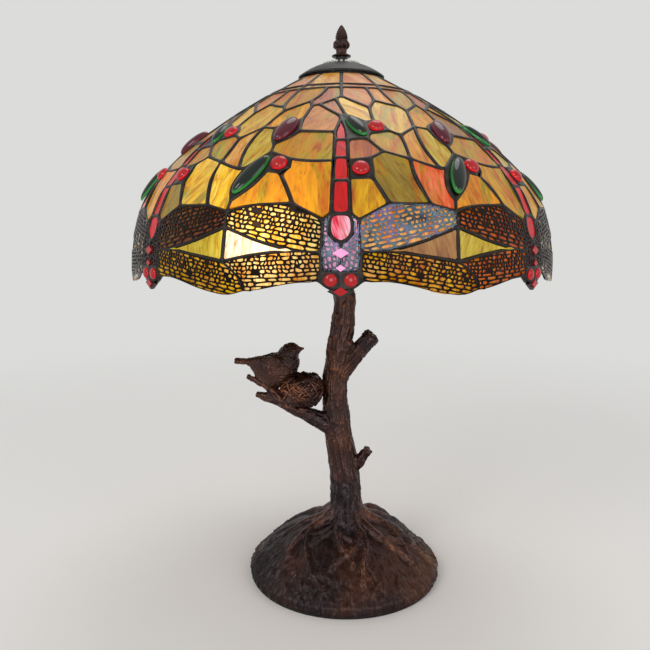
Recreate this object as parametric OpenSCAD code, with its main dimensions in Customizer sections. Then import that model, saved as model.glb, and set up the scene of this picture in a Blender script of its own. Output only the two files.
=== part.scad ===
/* [Shade] */
// Radius of the opening at the top of the shade
crown_r = 40; // [38:0.5:50]
// Height of the crown opening above the table
crown_z = 506; // [490:1:560]
// Number of dragonflies round the shade
repeats = 7; // [5:1:9]
// Thickness of the sheet glass
glass_t = 3; // [2:0.1:3.4]
// Half of the joint left between two neighbouring panes
joint_half = 0.4; // [0.35:0.01:0.45]
// Width of the solder line on each pane's edge
solder_w = 1.6; // [1:0.1:2]
// Height of the solder line above the glass
solder_t = 1.2; // [0.6:0.1:1.8]
// Thickness of the pierced brass sheet over the wings
filigree_t = 0.6; // [0.4:0.1:1]

/* [Stand] */
// Radius of the root mound at the table
mound_r = 101; // [90:1:115]
// Height of the flat seat on top of the mound
mound_top = 66; // [60:1:75]
// Wall of the mound casting
mound_wall = 6; // [4:0.5:8]
// Sideways offset of the mound from the lamp's axis
mound_x = 4.5; // [0:0.5:6]
// Height of the trunk's top end
trunk_top = 322; // [315:1:330]
// Thickness of the felt under the base
felt_t = 1.5; // [1:0.1:3]
// Outer radius of the threaded lamp pipe
pipe_r = 5; // [4.5:0.1:5.5]
// Wall of the lamp pipe
pipe_wall = 1.25; // [1:0.05:1.5]

/* [Nest and bird] */
// Outer radius of the nest
nest_r = 21.5; // [18:0.5:24]
// Height of the nest
nest_h = 27; // [22:1:30]
// Wall of the nest
nest_wall = 6; // [4:0.5:8]

/* [Lights] */
// Direction of the first lamp holder, from the front towards the right
light_turn = -40; // [-60:1:-20]
// Upward tilt of the lamp holders
light_tilt = 15; // [5:1:20]
// Height of the lamp holder cluster's middle
cluster_z = 346; // [342:1:360]
// Radius of the cluster housing
cluster_r = 21; // [19:0.5:24]
// Radius of a bulb
bulb_r = 27.5; // [20:0.5:30]
// Length of a bulb without its screw cap
bulb_len = 74; // [60:1:80]
// Radius of a bulb's screw cap
bulb_cap_r = 13; // [12.5:0.1:13.5]

/* [Fittings] */
// Radius of the riser rod above the cluster
rod_r = 3; // [2.5:0.1:3.5]
// Outer radius of the vented cap
cap_r = 42; // [41.5:0.5:54]
// Number of vent holes in the cap
vents = 12; // [6:1:16]
// Radius of one vent hole
vent_r = 2.2; // [1.5:0.1:2.8]
// Total height of the lamp
total_h = 560; // [556:1:620]

/* [Fits] */
// Radial clearance of a piece that is slipped on or in
slip = 0.1; // [0.05:0.01:0.1]
// Gap between faces that turn or lift past each other
seat_gap = 0.2; // [0.1:0.05:0.4]

/* [Hidden] */

smooth = 64;
// A cut reaches this far past the faces that it opens
past = 1;

/* ---- Dome: four arcs down the outside, measured along the glass from the crown ---- */
arc_len = [110, 65, 30, 80];
arc_angle = [27.2, 36.5, 50.5, 72, 101];
function bend(i) = (arc_angle[i + 1] - arc_angle[i]) * PI / 180 / arc_len[i];
function angle_on(i, l) = arc_angle[i] + (arc_angle[i + 1] - arc_angle[i]) * l / arc_len[i];
function arc_out(i, l) = (sin(angle_on(i, l)) - sin(arc_angle[i])) / bend(i);
function arc_down(i, l) = (cos(arc_angle[i]) - cos(angle_on(i, l))) / bend(i);
function last_arc(i) = i == len(arc_len) - 1;
function dome_r(s, i = 0) = s <= arc_len[i] || last_arc(i) ? arc_out(i, s)
    : arc_out(i, arc_len[i]) + dome_r(s - arc_len[i], i + 1);
function dome_z(s, i = 0) = s <= arc_len[i] || last_arc(i) ? arc_down(i, s)
    : arc_down(i, arc_len[i]) + dome_z(s - arc_len[i], i + 1);
// A place on the dome from its turn and its distance down the glass
step = 360 / repeats;
turn_scale = step / 51.43;
function on_dome(p) = let (r = crown_r + dome_r(p[1]), a = p[0] * turn_scale)
    [r * sin(a), -r * cos(a), crown_z - dome_z(p[1])];

/* ---- Pattern of one repeat: each point is its turn in degrees and its distance down ---- */
pitch = 51.43;
function left(p) = [p[0] - pitch, p[1]];
function right(p) = [p[0] + pitch, p[1]];
function flip(points) = [for (i = [len(points) - 1 : -1 : 0]) [-points[i][0], points[i][1]]];
ring_1 = 35;
ring_2 = 44;
half = pitch / 2;
a0 = [0, ring_2];
a1 = [0.2, 60];
b0 = [15.5, ring_2];
b1 = [16, 60];
c0 = [24.5, ring_2];
c1 = [24, 63];
d0 = [-9, ring_2];
d1 = [-10, 60];
e0 = [27.7, 89];
e1 = [26.4, 99];
f0 = [-14, 74];
g0 = [-12.4, 83];
g1 = [-12.8, 95];
h0 = [-9.4, 80.7];
h1 = [-0.6, 101.2];
i0 = [-2.6, 70];
i1 = [-1.8, 76];
i2 = [0.2, 89];
j0 = [0.2, 65];
k0 = [11.6, 87];
k1 = [11.1, 95];
m0 = [15.4, 72.5];
m1 = [21, 79];
n0 = [25.5, 81];
o1 = [23.7, 131];
o2 = [23.4, 147];
o3 = [24.3, 159];
p0 = [24.8, 117];
q0 = [18.1, 130];
q1 = [18.2, 147];
t0 = [17.8, 159];
t1 = [17.4, 175];
t2 = [18.2, 185];
t3 = [19.8, 201];
r0 = [25.2, 168];
r1 = [21.8, 165];
u0 = [-18.9, 151];
v0 = [-12.7, 159.5];
v1 = [-7.4, 162.5];
w0 = [-14.4, 175];
w1 = [-12.4, 185];
x0 = [-10.5, 200.5];
x1 = [9, 190];
z0 = [9.6, 147];
z1 = [11.2, 151.5];
z2 = [7.4, 159];
// Edges of the garnet oval
fa = [-13.7, 108];
fb = [-12.9, 124.5];
fc = [-14.9, 134];
fd = [-19.1, 141];
fe = [-21.6, 133];
ff = [-21.6, 119];
fg = [-18.6, 107.5];
fh = [-16, 104.5];
// Edges of the upper green oval and the round jewel beside it
ca = [1.9, 101.8];
cb = [5.6, 105];
cc = [8.1, 112.5];
cd = [7.7, 120];
ce = [8.5, 128.6];
cf = [7.6, 136];
cg = [4.1, 134.5];
da = [11.1, 109.6];
db = [14.6, 115.5];
dc = [14.6, 124];
dd = [11.1, 129];
// Edges of the lower green oval and the round jewel beside it
ga = [-20.8, 156];
gb = [-24.4, 167.5];
gc = [-26, 180];
gd = [-26.5, 189];
ge = [-25.2, 197];
gf = [-22.2, 189];
gg = [-19.4, 180];
gh = [-18.1, 171];
gi = [-18.3, 160.5];
ha = [-15.6, 155];
hb = [-12.7, 168];
hc = [-15, 173.2];
// Edges of the round jewel beside the spine
ba = [1.85, 161.5];
bb = [7.7, 167];
bc = [7.2, 178.5];
bd = [1.9, 179.5];
// Spine
s0 = [0, 107];
s1 = [1.1, 117];
s2 = [1.8, 127];
s3 = [1.8, 137.5];
s4 = [1.8, 158.5];
s5 = [1.85, 181.5];
s6 = [2, 208];
// Thorax and head
th = [2.7, 214];
ti = [2.7, 223];
tj = [1.2, 229];
tk = [4.1, 236];
tl = [4.1, 250];
tm = [4.9, 256.5];
tn = [3.2, 261.5];
to = [0, 268.5];
// Upper wing
wa = [3.8, 213];
wb = [8.5, 204];
wc = [10.5, 200.5];
wd = [15, 200.8];
we = [23.7, 204];
wf = [half, 206.5];
wg = [half, 217.5];
wh = [22, 221.5];
wi = [18, 227.5];
wj = [13, 231.5];
wk = [9.5, 235];
// Lower wings, long on the right and short on the left
lb = [15, 238];
lc = [20, 240.3];
ld = [half - 0.2, 243.5];
le = [27.9, 249];
lf = [30, 254.5];
lg = [30.9, 260];
lh = [30.7, 264.5];
li = [28.5, 266.8];
lj = [25.5, 267.8];
lk = [19.5, 264.3];
ll = [14, 259.5];
lm = [10, 257];
nb = [-14, 236.3];
nc = [-19, 238.3];
nd = [-23, 241.5];
ne = [-17, 263];
nf = [-10, 258];
function flip1(p) = [-p[0], p[1]];

crown_cells = [[[-half, 0], [0, 0], [0, ring_1], [-half, ring_1]],
    [[0, 0], [half, 0], [half, ring_1], [0, ring_1]]];
band_cells = [[[-half, ring_1], [0, ring_1], a0, d0, left(c0)],
    [[0, ring_1], [half, ring_1], c0, b0, a0]];
upper_cells = [[left(c0), d0, d1, f0, left(e0), left(n0), left(c1)],
    [d0, a0, a1, j0, i0, h0, g0, f0, d1],
    [a0, b0, b1, m0, k0, j0, a1],
    [b0, c0, c1, n0, m1, m0, b1]];
middle_cells = [[left(e0), f0, g0, g1, fa, fh, fg, ff, left(p0), left(e1)],
    [g0, h0, h1, s0, flip1(s1), flip1(s2), fb, fa, g1],
    [h0, i0, i1, i2, ca, h1],
    [i0, j0, k0, k1, da, cc, cb, ca, i2, i1],
    [m0, m1, n0, e0, e1, p0, q0, dc, db, da, k1, k0]];
lower_cells = [[ce, dd, dc, q0, q1, t0, z1, z0, cf],
    [s3, cg, cf, z0, z1, z2, ba, s4],
    [fb, flip1(s2), flip1(s3), flip1(s4), flip1(ba), v1, v0, ha, u0, fd, fc],
    [left(p0), ff, fe, fd, u0, ga, gb, left(r0), left(o3), left(o2), left(o1)],
    [q0, p0, o1, o2, o3, r0, r1, t0, q1]];
skirt_cells = [[v0, v1, flip1(ba), flip1(s5), flip1(s6), flip1(wa), flip1(wb), x0, w1, w0, hb],
    [t0, r1, r0, right(gb), right(gc), right(gd), right(ge), wf, we, t3, t2, t1],
    [z2, z1, t0, t1, t2, t3, wd, wc, x1, bc, bb],
    [bd, bc, x1, wc, wb, wa, s6, s5],
    [w0, w1, x0, flip1(wd), flip1(t3), flip1(we), flip1(wf), ge, gf, gg, gh, hc]];
gap_cells = [[wg, ld, lc, lb, wk, wj, wi, wh],
    [flip1(wg), flip1(wh), flip1(wi), flip1(wj), flip1(wk), nb, nc, nd, left(ld)]];
spine_cells = [[s0, s1, s2, s3, flip1(s3), flip1(s2), flip1(s1)], [s3, s4, flip1(s4), flip1(s3)],
    [s4, s5, flip1(s5), flip1(s4)], [s5, s6, flip1(s6), flip1(s5)], [tn, to, flip1(tn)]];
thorax_cells = [[s6, th, ti, tj, flip1(tj), flip1(ti), flip1(th), flip1(s6)]];
body_right = [s6, wa, tk, tl, [0, tl[1]], [0, tj[1]], tj, ti, th];
body_cells = [body_right, flip(body_right)];
upper_wing_right = [[wa, wb, wc, wj, wk, tk], [wc, wd, t3, wi, wj], [t3, we, wf, wg, wh, wi]];
upper_wing_cells = concat(upper_wing_right, [for (c = upper_wing_right) flip(c)]);
lower_wing_cells = [[tk, wk, lm, tm, tl], [wk, lb, lc, lk, ll, lm],
    [lc, ld, le, lf, lg, lh, li, lj, lk],
    [flip1(tk), flip1(tl), flip1(tm), nf, flip1(wk)], [flip1(wk), nf, ne, nc, nb],
    [nc, ne, left(lh), left(lg), left(lf), left(le), left(ld), nd]];

/* ---- Vectors and flat panes ---- */
function unit(v) = v / norm(v);
function total(list, i = 0) = i == len(list) - 1 ? list[i] : list[i] + total(list, i + 1);
function mean(list) = total(list) / len(list);
function next(list, i) = list[(i + 1) % len(list)];
function facing(list) = unit(total([for (i = [0 : len(list) - 1]) cross(list[i], next(list, i))]));
// The outline of a cell in its own plane, with that plane's middle and directions
function out_of(n, c) = n * [c[0], c[1], 0] < 0 ? -n : n;
function flat(cell) = let (p = [for (q = cell) on_dome(q)], c = mean(p),
    n = out_of(facing([for (q = p) q - c]), c), e = unit(cross([0, 0, 1], n)), g = cross(n, e))
    [c, e, g, n, [for (q = p) [(q - c) * e, (q - c) * g]]];
function area2(p) = total([for (i = [0 : len(p) - 1])
    p[i][0] * next(p, i)[1] - next(p, i)[0] * p[i][1]]);
function normal2(a, b) = unit([b[1] - a[1], a[0] - b[0]]);
// An outline moved inwards by a distance
function shrink(p, d) = let (k = area2(p) > 0 ? -d : d, l = len(p)) [for (i = [0 : l - 1])
    let (m = normal2(p[(i + l - 1) % l], p[i]), n = normal2(p[i], p[(i + 1) % l]))
    p[i] + k * (m + n) / max(1 + m * n, 0.12)];
// The same for a jewel's cell, in the tangent plane where the jewel lies
function place_plane(p) = let (c = on_dome(p), g = unit(c - on_dome([p[0], p[1] + 1])),
    e = [cos(p[0] * turn_scale), sin(p[0] * turn_scale), 0]) [c, e, g, cross(e, g)];
function in_view(f, cell) = [for (q = cell) let (v = on_dome(q) - f[0]) [v * f[1], v * f[2]]];
module in_plane(f)
    multmatrix([[f[1][0], f[2][0], f[3][0], f[0][0]], [f[1][1], f[2][1], f[3][1], f[0][1]],
        [f[1][2], f[2][2], f[3][2], f[0][2]], [0, 0, 0, 1]]) children();
module round_the_lamp() for (i = [0 : repeats - 1]) rotate([0, 0, i * step]) children();
module pane(cell) {
    f = flat(cell);
    in_plane(f) translate([0, 0, -glass_t / 2])
        linear_extrude(glass_t) polygon(shrink(f[4], joint_half));
}
module solder_line(cell) {
    f = flat(cell);
    in_plane(f) translate([0, 0, glass_t / 2]) linear_extrude(solder_t) difference() {
        polygon(shrink(f[4], joint_half));
        polygon(shrink(f[4], joint_half + solder_w));
    }
}
module wing_sheet(cell) {
    f = flat(cell);
    in_plane(f) translate([0, 0, glass_t / 2])
        linear_extrude(filigree_t) polygon(shrink(f[4], joint_half + solder_w + joint_half));
}
module panes(cells) round_the_lamp() for (c = cells) pane(c);
// The tangent plane at a place, turned so that its second direction leans by an angle
module at_place(p, lean = 0) in_plane(place_plane(p)) rotate([0, 0, -lean]) children();
// Solder that fills a jewel's cell round the jewel, whose footprint is cut from it
module bezel_fill(p, cell) in_plane(place_plane(p)) translate([0, 0, -glass_t / 2])
    linear_extrude(glass_t + solder_t) difference() {
        polygon(shrink(in_view(place_plane(p), cell), joint_half));
        children();
    }

/* ---- Jewels ---- */
bezel = 1.4;
garnet = [[-17.4, 122.5], 17, 8.25, 14];
green_upper = [[4.75, 118.5], 16.2, 6.6, -24];
green_lower = [[-21.9, 174.8], 21.5, 7.5, 27];
jewel_upper = [[11.2, 119.4], 7.4];
jewel_lower = [[-15.5, 164], 7.5];
jewel_spine = [[4.7, 170], 7.4];
eye = [[2.05, 255.6], 5.6];
oval_steps = 10;
// Height of a round jewel's dome as a share of its radius
dome_share = 0.7;
garnet_cell = [fa, fb, fc, fd, fe, ff, fg, fh];
green_upper_cell = [ca, cb, cc, cd, ce, cf, cg, s3, s2, s1, s0, h1];
green_lower_cell = [u0, ga, gb, gc, gd, ge, gf, gg, gh, gi];
upper_cell = [cc, da, db, dc, dd, ce, cd];
lower_cell = [ha, v0, hb, hc, gh, gi, u0];
spine_cell = [ba, z2, bb, bc, bd];
eye_cell = [[0, tl[1]], tl, tm, tn, [0, tn[1]]];
// Half of a spindle turned about its long axis, flat at the back of the glass
module cabochon(g) at_place(g[0], g[3]) translate([0, 0, -glass_t / 2]) intersection() {
    rotate([-90, 0, 0]) rotate_extrude($fn = smooth) polygon([for (i = [0 : oval_steps])
        let (a = -90 + 180 * i / oval_steps)
        [i == 0 || i == oval_steps ? 0 : (g[2] - bezel) * cos(a), (g[1] - bezel) * sin(a)]]);
    translate([-g[1], -g[1], 0]) cube([2 * g[1], 2 * g[1], g[1]]);
}
module round_jewel(j) at_place(j[0]) translate([0, 0, -glass_t / 2])
    rotate_extrude($fn = smooth) polygon(concat([[0, 0]], [for (i = [0 : oval_steps])
        let (a = 90 * i / oval_steps)
        [i == oval_steps ? 0 : (j[1] - bezel) * cos(a),
            glass_t / 2 + (j[1] - bezel) * dome_share * sin(a)]]));
module oval_bezel(g, cell) bezel_fill(g[0], cell) rotate([0, 0, -g[3]]) polygon([
    for (i = [0 : 2 * oval_steps - 1]) let (a = 180 * i / oval_steps)
    [(g[2] - bezel + slip) * cos(a), (g[1] - bezel + slip) * sin(a)]]);
module round_bezel(j, cell) bezel_fill(j[0], cell) circle(r = j[1] - bezel + slip, $fn = smooth);

/* ---- Shade metalwork ---- */
ring_w = 6;
ring_h = 6;
// The crown's glass is straight between its corners and leans in by half of its thickness
ring_r = crown_r * cos(step / 4) - glass_t / 2 * sin(arc_angle[0]) + joint_half / 2;
seat_z = crown_z - ring_h / 2;
module crown_ring() color("#4a3a28") translate([0, 0, seat_z]) difference() {
    cylinder(h = ring_h, r = ring_r, $fn = smooth);
    translate([0, 0, -past]) cylinder(h = ring_h + 2 * past, r = ring_r - ring_w, $fn = smooth);
}
cap_z = seat_z + ring_h;
cap_wall = 1.5;
cap_h = 14;
neck_r = 5.5;
neck_h = 7;
neck_z = cap_z + cap_h;
cap_steps = 8;
cap_power = 2.2;
vent_ring = 20;
// Height of the cap's outside above its rim, at a radius
function cap_rise(r) = cap_h * (1 - pow(r / cap_r, cap_power));
cap_radii = [for (i = [0 : cap_steps]) neck_r + (cap_r - neck_r) * i / cap_steps];
module vent_cap() color("#3b2c20") difference() {
    rotate_extrude($fn = smooth) polygon(concat(
        [[rod_r + slip, neck_z + neck_h], [neck_r, neck_z + neck_h]],
        [for (r = cap_radii) [r, cap_z + cap_wall + cap_rise(r)]],
        [[cap_r, cap_z], [cap_r - cap_wall, cap_z]],
        [for (i = [cap_steps - 1 : -1 : 0]) [cap_radii[i], cap_z + cap_rise(cap_radii[i])]],
        [[rod_r + slip, cap_z + cap_rise(neck_r)]]));
    for (i = [0 : vents - 1]) rotate([0, 0, 360 * i / vents])
        translate([vent_ring, 0, cap_z]) cylinder(h = cap_h + 2 * cap_wall, r = vent_r, $fn = smooth);
}

/* ---- Finial ---- */
finial_z = neck_z + neck_h + seat_gap;
bush_wall = 1.5;
bush_h = 10;
bush_r = rod_r + slip + bush_wall;
flare_r = 9.5;
flare_h = 2;
shank_r = 5.6;
shank_h = 3;
cone_r = 7.6;
cone_h = total_h - finial_z - flare_h - shank_h;
cone_steps = 8;
cone_foot = 0.16;
cone_belly = 0.72;
cone_round = 0.9;
cone_points = [for (i = [0 : cone_steps]) let (f = i / cone_steps)
    [i == cone_steps ? 0
        : cone_r * pow(sin(180 * pow(cone_foot + (1 - cone_foot) * f, cone_belly)), cone_round),
        finial_z + flare_h + shank_h + cone_h * f]];
thread_gap = 1;
module finial() color("#33241c") difference() {
    rotate_extrude($fn = smooth) polygon(concat([[0, finial_z], [flare_r, finial_z],
        [flare_r, finial_z + flare_h], [shank_r, finial_z + flare_h],
        [shank_r, finial_z + flare_h + shank_h]], cone_points));
    translate([0, 0, finial_z - past])
        cylinder(h = past + bush_h + thread_gap, r = bush_r, $fn = smooth);
}
module finial_bush() color("#c9a24a") translate([0, 0, finial_z]) difference() {
    cylinder(h = bush_h, r = bush_r, $fn = smooth);
    translate([0, 0, -past]) cylinder(h = bush_h + 2 * past, r = rod_r + slip, $fn = smooth);
}

/* ---- Inner column ---- */
plate_z = felt_t;
plate_t = 2;
boss_t = 9;
boss_under = mound_top - boss_t;
washer_t = 1.5;
washer_r = 12;
nut_h = 6;
nut_r = 9;
lock_t = 1;
lock_r = 9;
lock_z = boss_under - washer_t - lock_t;
pipe_end = 3;
pipe_z = lock_z - nut_h - pipe_end;
collar_r = 14;
housing_h = 30;
housing_z = cluster_z - housing_h / 2;
housing_wall = 1.5;
lid_h = 3;
lid_z = housing_z + housing_h;
pipe_up = 6;
pipe_top = housing_z + housing_wall + pipe_up;
module pipe_hole(z, h, r = pipe_r + slip) translate([0, 0, z - past])
    cylinder(h = h + 2 * past, r = r, $fn = smooth);
module lamp_pipe() color("#b0b0a8") translate([0, 0, pipe_z]) difference() {
    cylinder(h = pipe_top - pipe_z, r = pipe_r, $fn = smooth);
    translate([0, 0, -past])
        cylinder(h = pipe_top - pipe_z + 2 * past, r = pipe_r - pipe_wall, $fn = smooth);
}
module washer_at(z, t, r) difference() {
    translate([0, 0, z]) cylinder(h = t, r = r, $fn = smooth);
    pipe_hole(z, t);
}
module hex_nut(z, h, r, hole) difference() {
    translate([0, 0, z]) cylinder(h = h, r = r, $fn = 6);
    pipe_hole(z, h, hole);
}
module clamp_washer() color("#b8b8b0") washer_at(boss_under - washer_t, washer_t, washer_r);
module lock_washer() color("#8c8c86") washer_at(lock_z, lock_t, lock_r);
module clamp_nut() color("#c0b070") hex_nut(lock_z - nut_h, nut_h, nut_r, pipe_r + slip);
module trunk_collar() color("#7a5c30")
    washer_at(trunk_top, housing_z - trunk_top, collar_r);
module cluster_housing() color("#8a6a38") difference() {
    translate([0, 0, housing_z]) cylinder(h = housing_h, r = cluster_r, $fn = smooth);
    translate([0, 0, housing_z + housing_wall])
        cylinder(h = housing_h, r = cluster_r - housing_wall, $fn = smooth);
    pipe_hole(housing_z, housing_wall);
    for (i = [0, 1]) at_light(i) cylinder(h = shell_start + past, r = stem_r + slip, $fn = smooth);
}
module cluster_lid() color("#8a6a38") difference() {
    translate([0, 0, lid_z]) cylinder(h = lid_h, r = cluster_r, $fn = smooth);
    translate([0, 0, lid_z - past]) cylinder(h = lid_h + 2 * past, r = rod_r + slip, $fn = smooth);
}
rod_in = 5;
rod_z = lid_z - rod_in;
rod_spare = 0.5;
rod_top = finial_z + bush_h + rod_spare;
module riser_rod() color("#b0b0a8") translate([0, 0, rod_z])
    cylinder(h = rod_top - rod_z, r = rod_r, $fn = smooth);
coupling_h = 14;
coupling_r = 6;
module rod_coupling() color("#c0b070") difference() {
    translate([0, 0, lid_z + lid_h]) cylinder(h = coupling_h, r = coupling_r, $fn = 6);
    translate([0, 0, lid_z + lid_h - past])
        cylinder(h = coupling_h + 2 * past, r = rod_r + slip, $fn = smooth);
}
wheel_t = 3;
wheel_z = seat_z - seat_gap - wheel_t;
wheel_r = ring_r - 1;
wheel_rim = 6;
hub_r = 9;
spoke_w = 5;
// Each spoke runs into the hub and the rim by this much
spoke_in = 2;
module rest_wheel() color("#9a8a60") translate([0, 0, wheel_z]) difference() {
    union() {
        difference() {
            cylinder(h = wheel_t, r = wheel_r, $fn = smooth);
            translate([0, 0, -past])
                cylinder(h = wheel_t + 2 * past, r = wheel_r - wheel_rim, $fn = smooth);
        }
        cylinder(h = wheel_t, r = hub_r, $fn = smooth);
        for (i = [0 : 3]) rotate([0, 0, 90 * i + 45]) translate([hub_r - spoke_in, -spoke_w / 2, 0])
            cube([wheel_r - wheel_rim - hub_r + 2 * spoke_in, spoke_w, wheel_t]);
    }
    translate([0, 0, -past]) cylinder(h = wheel_t + 2 * past, r = rod_r + slip, $fn = smooth);
}
wheel_nut_h = 4;
wheel_nut_r = 6;
module wheel_nuts() color("#c0b070") {
    hex_nut(wheel_z - wheel_nut_h, wheel_nut_h, wheel_nut_r, rod_r + slip);
    hex_nut(wheel_z + wheel_t, wheel_nut_h, wheel_nut_r, rod_r + slip);
}

/* ---- Lamp holders and bulbs, each along its own tilted axis ---- */
stem_r = 6;
stem_wall = 2;
stem_in = 3;
stem_len = 8;
shell_start = cluster_r + stem_len;
shell_len = 44;
shell_r = 18.5;
shell_wall = 1.5;
liner_wall = 2;
liner_len = 31;
floor_t = 4;
cap_len = 26;
cap_taper = 5;
cap_tip_r = 5;
contact_h = 2.5;
contact_r = 5;
thread_room = 0.3;
liner_in = bulb_cap_r + slip + thread_room;
liner_out = liner_in + liner_wall;
liner_start = shell_start + shell_wall;
contact_start = liner_start + floor_t;
cap_start = contact_start + contact_h + seat_gap;
module at_light(i) translate([0, 0, cluster_z])
    rotate([90 - light_tilt, 0, light_turn + 180 * i]) children();
module socket_shell(i) at_light(i) difference() {
    union() {
        translate([0, 0, cluster_r - housing_wall - stem_in])
            cylinder(h = stem_len + housing_wall + stem_in + past, r = stem_r, $fn = smooth);
        translate([0, 0, shell_start]) cylinder(h = shell_len, r = shell_r, $fn = smooth);
    }
    translate([0, 0, shell_start + shell_wall])
        cylinder(h = shell_len, r = shell_r - shell_wall, $fn = smooth);
    cylinder(h = shell_start + 2 * shell_wall, r = stem_r - stem_wall, $fn = smooth);
}
module socket_shells() color("#b08a48") for (i = [0, 1]) socket_shell(i);
module socket_liners() color("#e8e0cc") for (i = [0, 1]) at_light(i) translate([0, 0, liner_start])
    difference() {
        union() {
            cylinder(h = liner_len, r = liner_out, $fn = smooth);
            cylinder(h = floor_t, r = shell_r - shell_wall - slip, $fn = smooth);
        }
        translate([0, 0, floor_t]) cylinder(h = liner_len, r = liner_in, $fn = smooth);
    }
module centre_contacts() color("#d8b050") for (i = [0, 1]) at_light(i)
    translate([0, 0, contact_start]) cylinder(h = contact_h, r = contact_r, $fn = smooth);
module bulb_cap(i) at_light(i) translate([0, 0, cap_start]) {
    cylinder(h = cap_taper, r1 = cap_tip_r, r2 = bulb_cap_r, $fn = smooth);
    translate([0, 0, cap_taper]) cylinder(h = cap_len - cap_taper, r = bulb_cap_r, $fn = smooth);
}
// The glass narrows from its round end to the screw cap
module bulb_glass(i) at_light(i) translate([0, 0, cap_start + cap_len])
    rotate_extrude($fn = smooth) polygon(concat([[0, 0], [bulb_cap_r, 0]],
        [for (a = [-50 : 20 : 70]) [bulb_r * cos(a), bulb_len - bulb_r + bulb_r * sin(a)]],
        [[0, bulb_len]]));
module bulb_front() color("#fff4d8") bulb_glass(0);
module bulb_back() color("#fff4d8") bulb_glass(1);
module bulb_front_cap() color("#c8c8c0") bulb_cap(0);
module bulb_back_cap() color("#c8c8c0") bulb_cap(1);

/* ---- Root mound ---- */
foot_h = 8;
mound_steps = 9;
mound_flat = 27;
mound_power = 2.2;
mound_dip = 8;
ledge_h = 5;
function mound_rise(r) = felt_t + foot_h
    + (mound_top - felt_t - foot_h) * (1 - pow((r - mound_flat) / (mound_r - mound_flat), mound_power))
    - mound_dip * sin(180 * (r - mound_flat) / (mound_r - mound_flat));
outer_curve = [for (i = [0 : mound_steps])
    let (r = mound_flat + (mound_r - mound_flat) * i / mound_steps) [r, mound_rise(r)]];
ledge_w = 8;
inlet_z = 16;
inlet_r = 5;
grommet_wall = 1.5;
grommet_len = 14;
grommet_inset = 1.5;
screw_r = 2;
screw_ring = mound_r - mound_wall - ledge_w / 2;
screw_len = 12;
screws = 3;
screw_turn = 30;
felt_inset = 2;
head_h = 1;
module mound_place() translate([mound_x, 0, 0]) children();
module root_mound() color("#3a241c") difference() {
    mound_place() rotate_extrude($fn = 96) polygon(concat([[0, mound_top]], outer_curve,
        [[mound_r, felt_t], [mound_r - mound_wall, felt_t],
        [mound_r - mound_wall, plate_z + plate_t],
        [mound_r - mound_wall - ledge_w, plate_z + plate_t],
        [mound_r - mound_wall - ledge_w, plate_z + plate_t + ledge_h]],
        [for (i = [mound_steps - 2 : -1 : 0]) [outer_curve[i][0] - mound_wall,
            min(outer_curve[i][1] - mound_wall, boss_under)]],
        [[0, boss_under]]));
    pipe_hole(boss_under, mound_top - boss_under);
    mound_place() translate([0, mound_r, inlet_z]) rotate([90, 0, 0])
        cylinder(h = 3 * mound_wall + ledge_w, r = inlet_r, $fn = smooth);
    for (i = [0 : screws - 1]) screw_place(i) cylinder(h = screw_len, r = screw_r + slip, $fn = smooth);
}
module screw_place(i) mound_place() rotate([0, 0, 360 * i / screws + screw_turn])
    translate([screw_ring, 0, plate_z]) children();
module base_plate() color("#7a7a78") difference() {
    mound_place() translate([0, 0, plate_z])
        cylinder(h = plate_t, r = mound_r - mound_wall - slip, $fn = 96);
    for (i = [0 : screws - 1]) screw_place(i) {
        translate([0, 0, -past]) cylinder(h = plate_t + 2 * past, r = screw_r + slip, $fn = smooth);
        translate([0, 0, -past]) cylinder(h = past + head_h, r = 2 * screw_r + slip, $fn = smooth);
    }
}
module base_screws() color("#c8c8c4") for (i = [0 : screws - 1]) screw_place(i) {
    cylinder(h = head_h, r = 2 * screw_r, $fn = smooth);
    cylinder(h = screw_len - past, r = screw_r, $fn = smooth);
}
module felt_pad() color("#2f4a34") mound_place()
    cylinder(h = felt_t, r = mound_r - felt_inset, $fn = 96);
module cord_grommet() color("#1c1c1c") mound_place() translate([0, mound_r - grommet_inset, inlet_z])
    rotate([90, 0, 0]) difference() {
        cylinder(h = grommet_len, r = inlet_r - slip, $fn = smooth);
        translate([0, 0, -past])
            cylinder(h = grommet_len + 2 * past, r = inlet_r - grommet_wall, $fn = smooth);
    }

/* ---- Trunk and branches: round sections along a chosen line, each [x, y, z, radius] ---- */
trunk_line = [[6.3, 0, mound_top, 21], [6.4, 0, 76, 17.6], [5.9, 0, 99, 16], [1.2, 0, 132, 15.2],
    [-3.4, 0, 165, 14], [-5.2, 0, 197, 13.4], [-3.8, 0, 219, 13.3], [-1.3, 0, 240, 13],
    [2.5, 0, 266, 12.3], [4.2, 0, 292, 11.2], [1.5, 0, 310, 10.8], [0, 0, trunk_top, 11]];
stub_line = [[1, 0, 222, 9], [12, -1.5, 233, 8], [23, -4, 246, 7], [32, -6, 256.6, 6.8]];
branch_line = [[-6, 0, 158, 12], [-22, -3, 166, 9.5], [-38, -6, 175, 7.6], [-52, -7, 182, 7],
    [-63, -7, 188, 6.4], [-76, -6, 191, 5], [-88, -4, 193.5, 3.6]];
perch_line = [[-59, -7, 187, 5], [-68, -8, 197, 4.8], [-80, -8, 206, 4.2], [-90, -8, 210.5, 3.8],
    [-97, -8, 213, 3.2]];
bird_sides = 18;
bird_line = [[-108, -8, 229.5, 1.6], [-99, -8, 229, 3], [-90, -8, 228.5, 5.5],
    [-82, -8, 227, 10], [-74, -8, 225.5, 13.6], [-66, -8, 226, 15], [-59, -8, 230, 13.5],
    [-54, -8, 236, 10], [-50.5, -8, 240, 8], [-46.5, -8, 241.5, 5.4], [-43.8, -8, 241.7, 2],
    [-40.8, -8, 241.9, 0.8]];
function spot(s) = [s[0], s[1], s[2]];
function along(line, i) = unit(spot(line[min(i + 1, len(line) - 1)]) - spot(line[max(i - 1, 0)]));
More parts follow.
